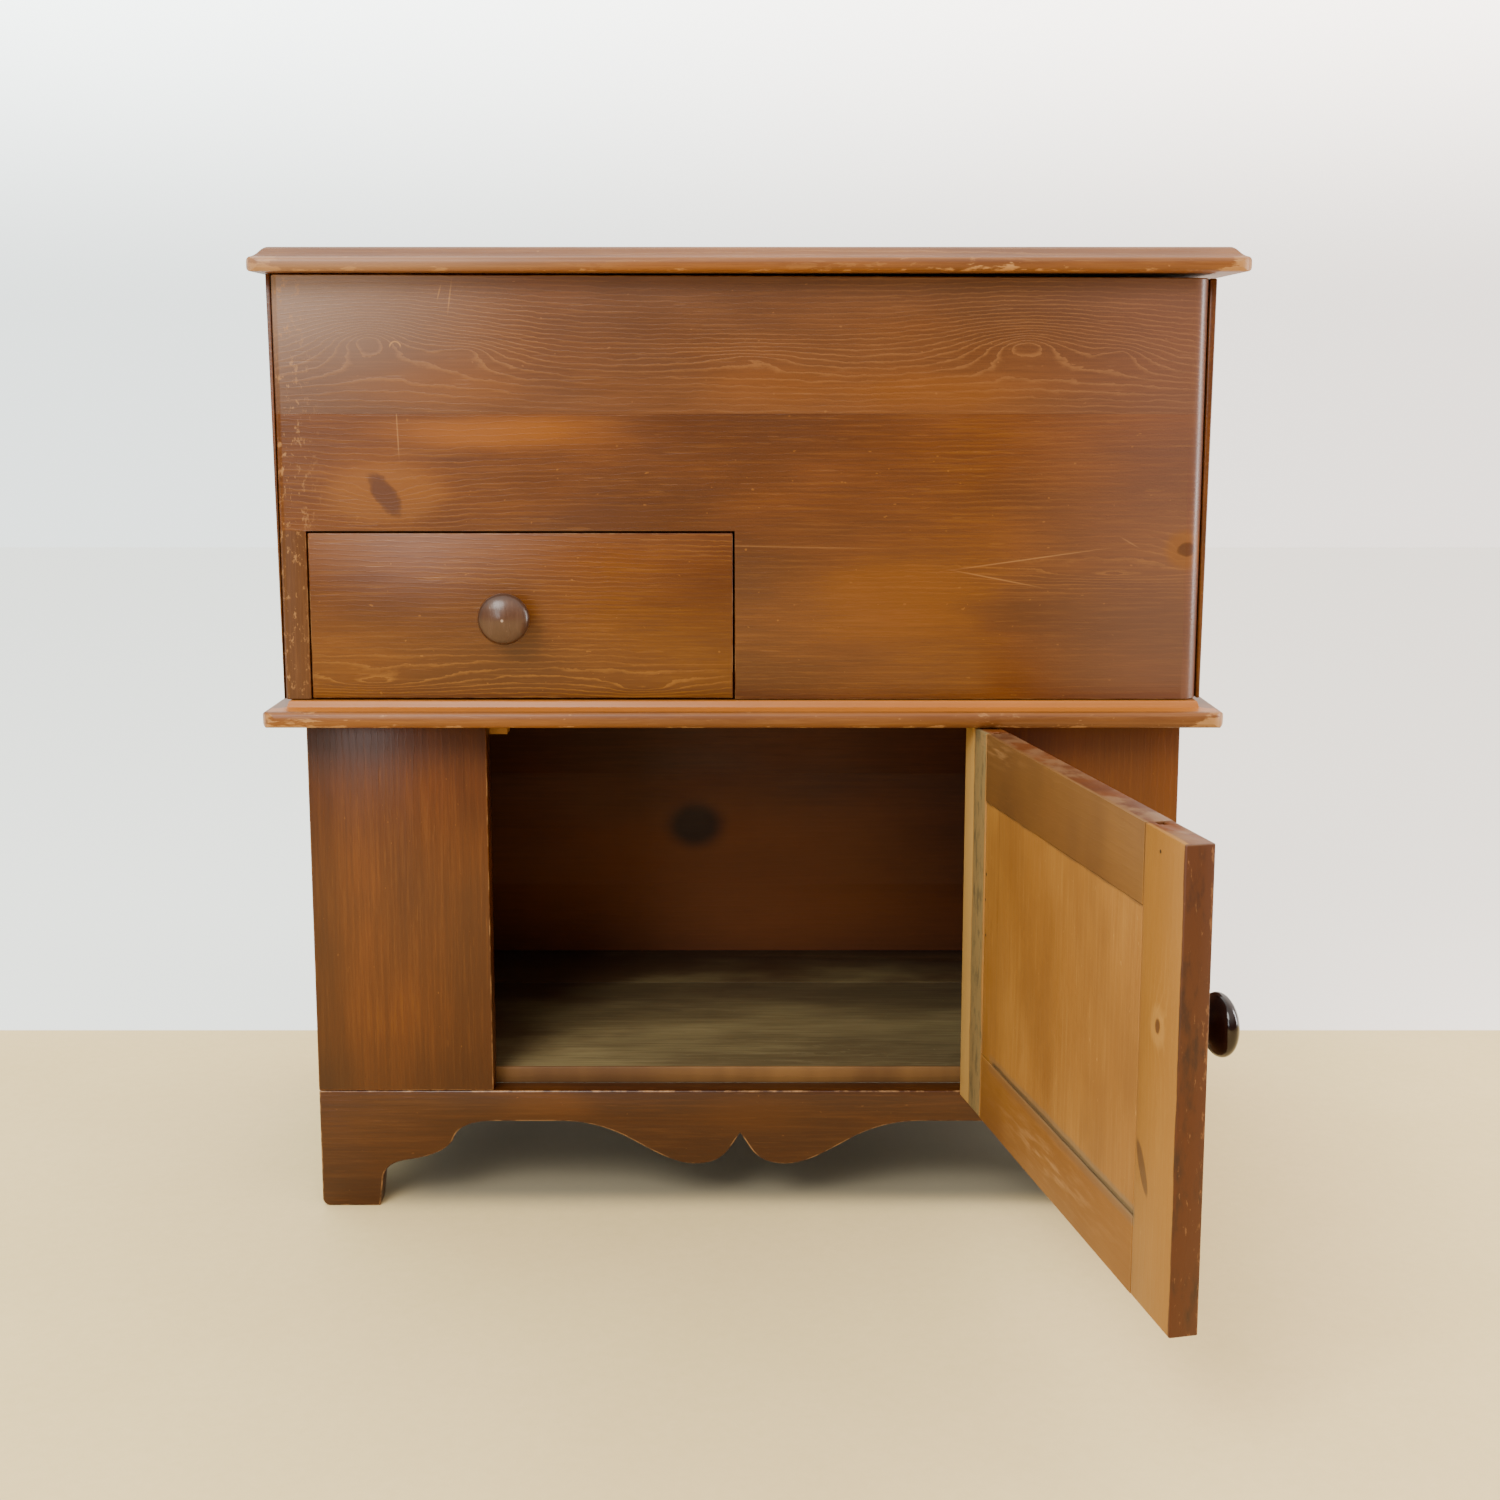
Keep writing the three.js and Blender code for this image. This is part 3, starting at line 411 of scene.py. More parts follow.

# %% [markdown]
# The upper front is two wide boards. The top one has two flame figures side by side and a
# painted greyish sheen of reflected light near the lid and at its left end. The lower one has an oval
# knot over the drawer, a small one at its right end and bright patches where the stain took thin.
# Flames are mounds in the ring field, placed where they belong on the board.


# %% The two wide front boards and the drawer
def front_touches(finish, spot, colour):
    along, across, _ = spot
    colour = end_scuffs(finish, along, across, colour)
    colour = scratch(finish, along, across, colour, [
        (-0.301, 0.722, 0.022, 92, 0.50), (0.250, 0.611, 0.070, 8, 0.40), (0.223, 0.594, 0.042, -11, 0.40),
        (0.040, 0.622, 0.090, -1, 0.22), (0.340, 0.626, 0.010, -30, 0.30),
    ])
    colour = glow(finish, colour, along, across, [
        (-0.215, 0.722, 0.110, 0.017, 0.75), (-0.310, 0.680, 0.060, 0.026, 0.35),
        (0.130, 0.576, 0.100, 0.040, 0.30), (0.260, 0.510, 0.150, 0.030, 0.15),
    ])
    return right_end_painted_sheen(finish, along, colour)


def top_touches(finish, spot, colour):
    along, across, _ = spot
    colour = glow(finish, colour, along, across, [
        (0.020, 0.760, 0.070, 0.022, 0.25), (0.165, 0.757, 0.100, 0.020, 0.28),
        (-0.270, 0.760, 0.090, 0.024, 0.28),
    ])
    # painted sheen: a greyish veil of reflected light near the lid and towards the left end
    ragged = finish.noise(finish.vector(along * 7.0, across * 14.0, 0.0), 1.0, 3.0) * 0.5
    left = (along - MIDDLE).ramp(-0.16, -0.42)
    by_the_lid = across.ramp(0.80, 0.86) * 0.18
    painted_sheen = (left * across.ramp(0.74, 0.84) * 1.2 + left * 0.25 + by_the_lid) * (ragged + 0.6)
    colour = finish.mix(painted_sheen * 0.55, colour, PAINTED_SHEEN_GREY)
    colour = end_scuffs(finish, along, across, colour)
    colour = scratch(finish, along, across, colour, [
        (-0.253, 0.838, 0.014, 82, 0.50), (-0.262, 0.842, 0.007, 75, 0.50)])
    colour = right_end_painted_sheen(finish, along, colour)
    from_dent = along - (MIDDLE - 0.3011)
    above_dent = across - 0.7955
    far = (from_dent * from_dent + above_dent * above_dent).sum("SQRT")
    dent = far.within(0.0042, 0.0052, 0.0005) * above_dent.ramp(-0.001, 0.002)
    return finish.mix(dent * 0.8, colour, RUBBED)


top_pine = aged_wood(
    "stained pine top board", level, TOP_STAIN, spacing=0.0052, line=0.55, touch=top_touches, seed=3.1,
    mounds=[
        (MIDDLE - 0.325, 0.802, 0.070, 0.034, -11), (MIDDLE - 0.240, 0.792, 0.060, 0.022, -5),
        (MIDDLE + 0.245, 0.797, 0.085, 0.032, -10), (MIDDLE + 0.330, 0.790, 0.040, 0.020, -4),
        (MIDDLE + 0.010, 0.785, 0.080, 0.016, -3),
    ],
)
front_pine = aged_wood(
    "stained pine front", level, STAIN, spacing=0.0050, line=0.45, quiet=0.3, touch=front_touches, seed=1.7,
    mounds=[(MIDDLE + 0.330, 0.598, 0.130, 0.012, 4)],
    knots=[(MIDDLE - 0.3135, 0.6680, 0.0200, 0.0090, -55), (MIDDLE + 0.3906, 0.6195, 0.0075, 0.0060, 0)],
)
drawer_pine = aged_wood(
    "stained pine drawer", level, DRAWER_STAIN, spacing=0.0048, line=0.6, quiet=0.5, seed=8.3,
    mounds=[(MIDDLE - 0.330, 0.502, 0.120, 0.016, 5), (MIDDLE - 0.090, 0.497, 0.070, 0.013, 4)],
)
print("front boards and drawer stained")

# %% [markdown]
# The narrow boards have straight, quiet grain, so they need no mounds or knots. The lower
# panels are darkest at the top of the left one, where the waist's shadow is painted on, and along
# the left edge. The apron, one long board below them, is dark all over but for two faint warm patches.


# %% The stile, the panels, the ends and the apron
def stile_touches(finish, spot, colour):
    return end_scuffs(finish, spot[1], spot[0], colour)


def shaded_panel(finish, spot, colour):
    """Painted shadow of the waist across the top of the left panel; darker also along the left edge and
    towards the bottom. The right panel is warmer.
    """
    along, across, _ = spot
    edge = (across - MIDDLE).ramp(-0.340, -0.395)
    colour = finish.mix((across - MIDDLE).ramp(0.25, 0.30) * 0.4, colour, paint(0.170, 0.052, 0.0050))
    # painted shadow: the waist's shadow darkens the top of the left panel
    top = along.ramp(0.400, 0.462) * (across - MIDDLE).ramp(0.1, -0.1) * 0.55
    dark = top + edge * 0.45 + along.ramp(0.190, 0.115) * 0.40
    return finish.mix(dark.sum("MINIMUM", 0.85), colour, paint(*DARK_STAIN[0]))


stile_pine = aged_wood("stained pine stile", upright, TOP_STAIN, line=0.25, seed=2.2, touch=stile_touches)
panel_pine = aged_wood(
    "stained pine panel", upright, PANEL_STAIN, spacing=0.0060, line=0.22, seed=5.4, touch=shaded_panel)
side_pine = aged_wood("stained pine sides", fore_and_aft, STAIN, spacing=0.0060, line=0.4, seed=6.1)
leg_pine = aged_wood("stained pine lower sides", upright, STAIN, spacing=0.0060, line=0.35, seed=7.7)


def warm_apron(finish, spot, colour):
    along, across, _ = spot
    return glow(finish, colour, along, across, [
        (-0.180, 0.100, 0.050, 0.016, 0.16), (0.010, 0.090, 0.060, 0.020, 0.12),
    ])


apron_pine = aged_wood(
    "stained pine apron", level, DARK_STAIN, spacing=0.0055, line=0.3, seed=4.6, touch=warm_apron)
print("stained finishes mixed")

# %% [markdown]
# The lid and the waist stick out, so they take the knocks. Along their noses the stain is
# chipped and rubbed away to bare wood, most of all at the corners. The chips are a coarse
# noise cut off sharply, kept to a band along the nose. A painted highlight runs as a thin bright
# line along the ridge of each nose, and the lid's nose has a painted greyish sheen towards the left.


# %% Chipped mouldings
def moulding_touches(low, high, highlight_height, chip, left_nose_sheen=0.0, shelf=0.0):
    """low and high are the board's corners; then come the height of the painted highlight line on the nose,
    how much is chipped, and the strength of a painted sheen on the left of the nose.
    """

    def touch(finish, spot, colour):
        x, y, z = spot
        ends = (x - (low.x + high.x) / 2).sum("ABSOLUTE")
        reach = ((high.x - low.x) / 2 - ends).sum("MINIMUM", y - low.y)
        nose = reach.ramp(0.0065, 0.0030)
        flakes = finish.noise(finish.vector(x * 40.0, y * 40.0, z * 150.0), 1.0, 4.0, 0.65)
        patchy = finish.noise(finish.vector(x * 7.0, y * 7.0, 0.3), 1.0, 2.0)
        lower_edge = (z - low.z).ramp(0.0045, 0.0010)
        corner = ends.ramp((high.x - low.x) / 2 - 0.045, (high.x - low.x) / 2 - 0.008)
        bare = flakes + patchy * 0.35 + lower_edge * 0.13 + corner * 0.18 - 0.38 + chip
        colour = finish.mix(nose * bare.ramp(0.50, 0.58) * 0.70, colour, paint(0.400, 0.200, 0.070))
        # painted highlight: a thin bright line along the ridge of the nose
        line = (z - low.z).within(highlight_height - 0.0012, highlight_height + 0.0008, 0.0005) * reach.ramp(0.009, 0.005)
        colour = finish.mix(line * patchy.ramp(0.30, 0.55) * 0.45, colour, WARM_STAIN_AND_HIGHLIGHT)
        worn_shelf = reach.within(0.0060, 0.0240, 0.0010) * (y - low.y).ramp(0.0240, 0.0225) * shelf
        colour = finish.mix(worn_shelf * (patchy * 0.5 + 0.5), colour, paint(0.420, 0.130, 0.0100))
        # painted sheen: a pale greyish veil on the nose towards the left end
        left = (x - MIDDLE).ramp(-0.05, -0.35) * left_nose_sheen
        return finish.mix(nose * left, colour, paint(0.330, 0.190, 0.115))

    return touch


lid_pine = aged_wood(
    "stained pine lid", flat_long, NOSE_STAIN, spacing=0.0055, line=0.55, quiet=0.6, gloss=(0.38, 0.52),
    seed=0.6,
    touch=moulding_touches(lid_low, lid_high, highlight_height=0.0112, chip=0.05, left_nose_sheen=0.45),
)
waist_pine = aged_wood(
    "stained pine waist", flat_long, NOSE_STAIN, spacing=0.0055, line=0.3, gloss=(0.34, 0.48), seed=0.9,
    touch=moulding_touches(waist_low, waist_high, highlight_height=0.0134, chip=0.06, shelf=0.9),
)
print("chipped mouldings mixed")

# %% [markdown]
# On the other boards only the arrises are rubbed through. Their narrow bevels get a finish of
# their own, in the same stain, with ragged streaks of bare wood. How much is bare differs: most
# on the apron, which shoes and brooms hit.


# %% Rubbed edges
def rubbed(strength):
    """strength is how bare the streaks are."""

    def touch(finish, spot, colour):
        along, across, depth = spot
        wear = finish.noise(finish.vector(along * 60.0, across * 60.0, depth * 60.0), 1.0, 4.0, 0.65)
        long_wear = finish.noise(finish.vector(along * 9.0, across * 9.0, depth * 9.0), 1.0, 2.0) * 0.5
        return finish.mix((wear + long_wear).ramp(0.68, 0.92) * strength, colour, paint(0.330, 0.170, 0.065))

    return touch


rubbed_front = aged_wood("rubbed front edges", level, STAIN, line=0.2, seed=1.7, touch=rubbed(0.40))
rubbed_apron = aged_wood("rubbed apron edges", level, DARK_STAIN, line=0.2, seed=4.6, touch=rubbed(0.70))
rubbed_panel = aged_wood("rubbed panel edges", upright, STAIN, line=0.2, seed=5.4, touch=rubbed(0.60))
print("rubbed edges mixed")

# %% [markdown]
# Inside, nothing was stained. The drawer's box has gone honey yellow with age, the cupboard's
# back is nearly black-brown from damp and handling, and the floor boards are grey and washed
# out, with a cleaner yellow front edge where the door shuts against them.

# %% Bare wood finishes
HONEY = [(0.225, 0.092, 0.0150), (0.340, 0.155, 0.0270), (0.430, 0.230, 0.062)]
INNER = [(0.045, 0.0085, 0.0008), (0.100, 0.0210, 0.0022), (0.150, 0.040, 0.008)]
GREYED = [(0.055, 0.034, 0.0110), (0.200, 0.150, 0.060), (0.280, 0.215, 0.100)]
floor_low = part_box("floor_board_front")[0]
back_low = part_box("lower_back_board_top")[0]


def inner_touches(finish, spot, colour):
    """Painted light: a warm, lighter pool in the middle of the back, so the top and the far corners stay
    darker. Outside it is greyed.
    """
    along, across, depth = spot
    cloud = finish.noise(finish.vector(along * 5.0, across * 6.0, 0.0), 1.0, 3.0, 0.6) * 0.5
    inside = depth.ramp(back_low.y + 0.012, back_low.y + 0.008)
    colour = finish.mix((1 - inside) * (cloud + 0.35), colour, paint(0.082, 0.046, 0.0220))
    # painted light: a warm pool of light in the middle of the cupboard's back
    painted_light_pool = mound(along, across, MIDDLE - 0.020, 0.210, 0.300, 0.100) + cloud
    colour = finish.mix(painted_light_pool.ramp(0.3, 1.1) * inside * 0.60, colour, paint(0.230, 0.062, 0.0030))
    smudge = mound(along, across, MIDDLE - 0.0556, 0.2730, 0.034, 0.028) + cloud * 0.5
    return finish.mix(smudge.ramp(0.30, 0.9), colour, paint(0.024, 0.0045, 0.0006))


def floor_touches(finish, spot, colour):
    along, across, depth = spot
    cloud = finish.noise(finish.vector(along * 6.0, across, depth * 14.0), 1.0, 4.0, 0.6)
    damp = (along - MIDDLE).ramp(-0.080, -0.300) * 0.6 + depth.ramp(0.180, 0.380) * 0.60 + cloud * 1.4 - 0.7
    colour = finish.mix(damp.ramp(0.1, 0.7) * 0.9, colour, paint(0.045, 0.017, 0.0040))
    edge = (depth - floor_low.y).ramp(0.0030, 0.0015)
    yellow = finish.mix(cloud.ramp(0.35, 0.65), paint(0.085, 0.034, 0.0070), paint(0.190, 0.088, 0.0200))
    return finish.mix(edge, colour, yellow)


box_pine = aged_wood(
    "raw pine drawer box", fore_and_aft, HONEY, spacing=0.006, line=0.4, gloss=(0.55, 0.75), seed=2.9)
inner_pine = aged_wood(
    "dark inner pine", level, INNER, spacing=0.006, line=0.25, gloss=(0.5, 0.7), nicks=0.1, seed=6.6,
    touch=inner_touches,
)
floor_pine = aged_wood(
    "greyed floor pine", level, GREYED, spacing=0.007, line=0.3, gloss=(0.6, 0.8), nicks=0.2, seed=4.1,
    touch=floor_touches,
)
print("bare wood mixed")

# %% [markdown]
# ## The door's own marks
# The door shows its inner face. It is honey coloured, but its hinge stile has weathered to a
# grey-green band beside a yellow strip, the top rail is smoked brown, and a painted grey shadow
# and a dark line of dirt lie along the foot of the panel. Its outer face and its edges carry the
# same stain as the case. The marks are placed by height and by distance from the hinge pin.


# %% Marks on the inner face of the door
HINGE_JOINT = 0.0575
LATCH_JOINT = 0.3915
PANEL_FOOT = 0.1740


def hinge_side(finish, colour, out, height, streak, ragged):
    """A clean yellow strip along the pin, and beside it the grey-green weathered band."""
    yellow = (out + ragged).ramp(0.0270, 0.0240)
    colour = finish.mix(yellow * 0.75, colour, paint(0.480, 0.290, 0.085))
    band = (out + ragged).within(0.0262, 0.0560, 0.0020)
    colour = finish.mix(band * (streak * 0.5 + 0.45), colour, paint(0.150, 0.125, 0.058))
    weathered = finish.noise(finish.vector(out * 160.0, height * 40.0, 0.0), 1.0, 4.0, 0.7)
    return finish.mix(band * weathered.ramp(0.50, 0.62) * 0.65, colour, paint(0.055, 0.046, 0.024))


def smoked_rail(finish, colour, out, height, cloud, ragged):
    """The brown top rail, with the dark line of its joint to the latch stile."""
    along_rail = (out + ragged * 0.2).within(HINGE_JOINT, LATCH_JOINT - 0.0010, 0.0010)
    rail = (height + ragged).ramp(0.4010, 0.4040) * along_rail
    colour = finish.mix(rail * (cloud * 0.5 + 0.52), colour, paint(0.104, 0.047, 0.0140))
    joint = (out + ragged * 0.1).within(LATCH_JOINT - 0.0007, LATCH_JOINT + 0.0011, 0.0005)
    return finish.mix(joint * height.ramp(0.385, 0.440) * 0.8, colour, paint(0.040, 0.018, 0.007))


def panel_foot(finish, colour, out, height, ragged):
    """A painted grey shadow and a line of dirt along the foot of the panel, and the stain on the low rail.
    """
    # painted shadow: a grey band where the panel's foot meets the bottom rail
    painted_shadow_band = (height + ragged * 0.8).within(PANEL_FOOT - 0.0075, PANEL_FOOT + 0.0075, 0.0020)
    painted_shadow_band = painted_shadow_band * out.within(0.080, 0.394, 0.003) * (out.ramp(0.05, 0.30) * 0.3 + 0.35)
    colour = finish.mix(painted_shadow_band, colour, paint(0.150, 0.105, 0.060))
    dirt = (height + ragged * 0.4).within(PANEL_FOOT - 0.0005, PANEL_FOOT + 0.0035, 0.0012)
    colour = finish.mix(dirt * out.within(0.088, 0.394, 0.003) * 0.80, colour, paint(0.060, 0.038, 0.018))
    low_rail = height.ramp(PANEL_FOOT, PANEL_FOOT - 0.0040) * (out + ragged).within(0.0590, 0.3900, 0.002)
    return finish.mix(low_rail * 0.60, colour, paint(0.160, 0.058, 0.0080))


def small_marks(finish, colour, out, height):
    """Two scuffs, the edge of a panel board, a lost sliver and four nail holes."""
    scuff = finish.noise(finish.vector(out * 26.0, height * 190.0, 0.0), 1.0, 3.0, 0.6)
    low_scuff = mound(out, height, 0.215, 0.143, 0.100, 0.018)
    top_scuff = mound(out, height, 0.085, 0.452, 0.045, 0.009)
    scuffed = (low_scuff + top_scuff) * scuff.ramp(0.46, 0.66)
    colour = finish.mix(scuffed * 0.55, colour, paint(0.360, 0.190, 0.070))
    seam = out.within(0.0925, 0.0935, 0.0004) * height.within(0.1760, 0.4030, 0.002)
    colour = finish.mix(seam * 0.6, colour, paint(0.110, 0.045, 0.010))
    sliver = mound(out, height, 0.4045, 0.2160, 0.0220, 0.0062, -62)
    colour = finish.mix(sliver.ramp(0.35, 0.55) * 0.8, colour, paint(0.075, 0.030, 0.010))
    for hole_out, hole_height in [(0.0620, 0.3395), (0.0600, 0.3160), (0.0630, 0.2847), (0.4180, 0.4490)]:
        hole = mound(out, height, hole_out, hole_height, 0.0016, 0.0016)
        colour = finish.mix(hole.ramp(0.35, 0.60), colour, paint(0.020, 0.010, 0.005))
    return colour


print("marks of the inner face ready")

# %% [markdown]
# The outer face and the edges wear the case's stain. One mask tells them from the inner face:
# it looks at how deep in the door a spot lies, and how near the free edge. The edge has dark
# spots and small rubs along its outer arris, and the top is half bare.

# %% The stain outside, and the whole door
INNER_FACE = 0.0268
LATCH_EDGE = 0.4562
TOP_EDGE = 0.4618


def outer_stain(finish, spot, noises, rim):
    """spot is out, height and deep; noises are grain, cloud, streak and ragged."""
    out, height, deep = spot
    grain, cloud, streak, ragged = noises
    spots = finish.noise(finish.vector(out * 60.0, height * 24.0, deep * 90.0), 1.0, 4.0, 0.7)
    low_down = (height + ragged * 8.0).ramp(0.330, 0.270)
    edge = finish.mix(low_down, paint(0.066, 0.0155, 0.0014), paint(0.066, 0.0125, 0.0002))
    edge = finish.mix(spots.ramp(0.48, 0.72) * 0.75, edge, paint(0.018, 0.0045, 0.001))
    rubs = finish.noise(finish.vector(height * 75.0, deep * 260.0, 0.3), 1.0, 4.0, 0.7)
    near_arris = deep.ramp(0.0120, 0.0060) * 0.10
    edge = finish.mix((rubs + near_arris).ramp(0.62, 0.70) * 0.6, edge, paint(0.210, 0.088, 0.030))
    face = finish.mix(cloud.ramp(0.35, 0.65), paint(0.058, 0.0130, 0.0005), paint(0.124, 0.0310, 0.0009))
    face = finish.mix(streak.ramp(0.50, 0.68) * 0.45, face, paint(0.040, 0.0090, 0.0004))
    top = height.ramp(TOP_EDGE, TOP_EDGE + 0.0010) * grain.ramp(0.45, 0.62)
    return finish.mix(top * 0.75, finish.mix(rim, face, edge), paint(0.165, 0.082, 0.034))


def door_touches(swap):
    """swap is true where along is the distance from the pin and across the height."""

    def touch(finish, spot, colour):
        along, across, deep = spot
        out, height = (along, across) if swap else (across, along)
        grain = finish.noise(finish.vector(out * 30.0, height * 30.0, deep * 30.0), 1.0, 4.0, 0.6)
        ragged = grain * 0.006 - 0.003
        cloud = finish.noise(finish.vector(out * 11.0, height * 6.0, 0.0), 1.0, 3.0, 0.5)
        streak = finish.noise(finish.vector(across * 320.0, along * 14.0, 0.0), 1.0, 3.0, 0.6)
        colour = finish.mix(cloud.ramp(0.42, 0.66) * 0.55, colour, paint(0.180, 0.072, 0.0125))
        latch_side = (out + ragged).ramp(0.394, 0.396)
        colour = finish.mix(latch_side * 0.50, colour, paint(0.285, 0.125, 0.016))
        colour = hinge_side(finish, colour, out, height, streak, ragged)
        colour = smoked_rail(finish, colour, out, height, cloud, ragged)
        colour = panel_foot(finish, colour, out, height, ragged)
        colour = small_marks(finish, colour, out, height)
        inside = (deep + grain * 0.003).ramp(INNER_FACE - 0.0020, INNER_FACE - 0.0002)
        rim = (out + ragged * 0.8).ramp(LATCH_EDGE - 0.0012, LATCH_EDGE)
        stained = (1 - inside * (1 - rim)).sum("MINIMUM", 1.0)
        stain = outer_stain(finish, (out, height, deep), (grain, cloud, streak, ragged), rim)
        return finish.mix(stained, colour, stain)

    return touch


door_upright_pine = aged_wood(
    "honey pine stile", on_door_upright, HONEY, spacing=0.006, line=0.35, gloss=(0.40, 0.58), seed=3.7,
    knots=[(0.3262, 0.4225, 0.0060, 0.0040, 0)], touch=door_touches(False),
)
door_level_pine = aged_wood(
    "honey pine rail", on_door_level, HONEY, spacing=0.006, line=0.3, gloss=(0.40, 0.58), seed=5.8,
    touch=door_touches(True),
)
door_panel_pine = aged_wood(
    "honey pine panel", on_door_upright, HONEY, spacing=0.008, line=0.2, gloss=(0.40, 0.58), seed=1.4,
    touch=door_touches(False),
)
print("door finishes mixed")

# %% [markdown]
# The drawer's knob is worn to a dull purplish brown, with a screw hole filled with paint in its
# middle. The door's knob has kept its dark, shiny finish. Both are the same close-grained wood,
# so both come from the wood mixer with hardly any ring showing.

# %% Knob finishes
knob_low, knob_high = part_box("drawer_knob")
KNOB_X = (knob_low.x + knob_high.x) / 2
KNOB_Z = (knob_low.z + knob_high.z) / 2


def knob_touches(finish, spot, colour):
    """The filled screw hole in the middle, and painted shade on the rim where the head rolls over."""
    across = spot[1] - KNOB_X
    along = spot[0] - KNOB_Z
    far = (across * across + along * along).sum("SQRT")
    # painted shade: the rim of the head is darkened
    colour = finish.mix(far.ramp(0.0160, 0.0225) * 0.6, colour, paint(0.030, 0.012, 0.006))
    return finish.mix(far.ramp(0.0016, 0.0008), colour, paint(0.300, 0.220, 0.170))


worn_knob_wood = aged_wood(
    "worn turned wood", upright, [(0.060, 0.026, 0.014), (0.095, 0.045, 0.026), (0.150, 0.085, 0.055)],
    spacing=0.004, line=0.15, gloss=(0.22, 0.34), relief=0.00005, nicks=0.3, seed=1.1, touch=knob_touches)
dark_knob_wood = aged_wood(
    "dark turned wood", upright, [(0.006, 0.0012, 0.0008), (0.013, 0.0030, 0.0018), (0.028, 0.008, 0.004)],
    spacing=0.004, line=0.15, gloss=(0.12, 0.22), relief=0.00003, nicks=0.1, seed=1.3)
print("knob finishes mixed")

# %% [markdown]
# Zinc dulls to a cloudy grey, and hinge iron to nearly black. One function serves both: cloudy
# patches and fine specks for the colour, and the same clouds for the gloss.


# %% Sheet zinc and iron
def metal(name, dark, light, metallic, gloss):
    """dark and light are the colours, gloss the least and most roughness."""
    finish = Finish(name, Metallic=metallic)
    x, y, z = finish.place()
    spot = finish.vector(x, y, z)
    cloud = finish.noise(spot, 22.0, 4.0, 0.6)
    speck = finish.noise(spot, 300.0, 2.0, 0.5)
    colour = finish.mix(cloud.ramp(0.35, 0.7), paint(*dark), paint(*light))
    colour = finish.mix(speck.ramp(0.62, 0.75) * 0.4, colour, paint(*dark))
    finish.feed("Base Color", colour)
    finish.feed("Roughness", cloud * (gloss[1] - gloss[0]) + gloss[0])
    finish.bump(cloud + speck * 0.2, 0.0006)
    return finish.material


zinc = metal("dull sheet zinc", (0.25, 0.26, 0.26), (0.50, 0.52, 0.52), 0.85, (0.35, 0.6))
iron = metal("dark hinge iron", (0.020, 0.016, 0.013), (0.075, 0.060, 0.048), 0.7, (0.4, 0.65))
print("metal finishes mixed")

# %% [markdown]
# ## Softening the boards
# No edge on an old case is sharp: planing, dusting and knocks have rounded each arris by a
# millimetre or so, and light catches there. A board is copied from its frame piece, its
# triangles are merged back into flat faces, and a bevel rounds its edges. The narrow faces that
# the bevel makes get the board's second finish, where the stain is rubbed through.


# %% Copy a frame piece
MERGE_DISTANCE = 0.02 * MM
SAME_PLANE = math.radians(1)


def alone(piece):
    bpy.ops.object.select_all(action="DESELECT")
    piece.select_set(True)
    bpy.context.view_layer.objects.active = piece


def merged_copy(node, material, worn):
    """A copy of a frame piece, its triangles merged into flat faces, with its two finishes."""
    alone(frame["nodes"][node])
    bpy.ops.object.duplicate()
    piece = bpy.context.object
    piece.name = node + "_dressed"
    for key in [key for key in piece.keys() if key.startswith("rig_")]:
        del piece[key]
    piece.parent = None
    piece.data.materials.clear()
    piece.data.materials.append(material)
    piece.data.materials.append(worn or material)
    bpy.ops.object.mode_set(mode="EDIT")
    bpy.ops.mesh.select_all(action="SELECT")
    bpy.ops.mesh.remove_doubles(threshold=MERGE_DISTANCE)
    bpy.ops.mesh.dissolve_limited(angle_limit=SAME_PLANE)
    bpy.ops.object.mode_set(mode="OBJECT")
    for face in piece.data.polygons:
        face.material_index = 0
    return piece


print("copying ready")

# %% [markdown]
# A bevel can be told which edges to round by a weight on each edge. Only edges where two faces
# meet at a real angle get one, so the many narrow faces of a moulding stay as they are. Two
# boards that are glued edge to edge should meet in a hair line, so the edges at such a joint
# get no weight, and their vertices are moved up to the joint.

# %% Round its edges
JOINT_REACH = 0.6 * MM
JOINT_LINE = 0.03 * MM
BEVEL_SEGMENTS = 2
SMOOTH_BELOW = math.radians(35)


def close_joints(piece, node, tight):
    """Moves the faces at each glued joint up to it, and gives back the vertices it moved."""
    low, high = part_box(node)
    at_joint = set()
    for vertex in piece.data.vertices:
        for joint in tight:
            if abs(vertex.co.z - joint) < JOINT_REACH:
                below = low.z + high.z < 2 * joint
                vertex.co.z = joint - JOINT_LINE if below else joint + JOINT_LINE
                at_joint.add(vertex.index)
    return at_joint


def sharp_edges(mesh, limit):
    """The edges whose two faces meet at more than the limit."""
    normals = {}
    for face in mesh.polygons:
        for key in face.edge_keys:
            normals.setdefault(key, []).append(face.normal)
    sharp = set()
    for edge in mesh.edges:
        pair = normals[tuple(sorted(edge.vertices))]
        if len(pair) == 2 and pair[0].angle(pair[1]) > limit:
            sharp.add(edge.index)
    return sharp


def round_edges(piece, width, limit, at_joint):
    weights = piece.data.attributes.new("bevel_weight_edge", "FLOAT", "EDGE")
    sharp = sharp_edges(piece.data, limit)
    for edge in piece.data.edges:
        glued = edge.vertices[0] in at_joint and edge.vertices[1] in at_joint
        weights.data[edge.index].value = 1.0 if edge.index in sharp and not glued else 0.0
    bpy.ops.object.modifier_add(type="BEVEL")
    bevel = piece.modifiers[-1]
    bevel.width = width * MM
    bevel.segments = BEVEL_SEGMENTS
    bevel.limit_method = "WEIGHT"
    bevel.material = 1
    bpy.ops.object.modifier_apply(modifier=bevel.name)
    bpy.ops.object.shade_smooth_by_angle(angle=SMOOTH_BELOW)


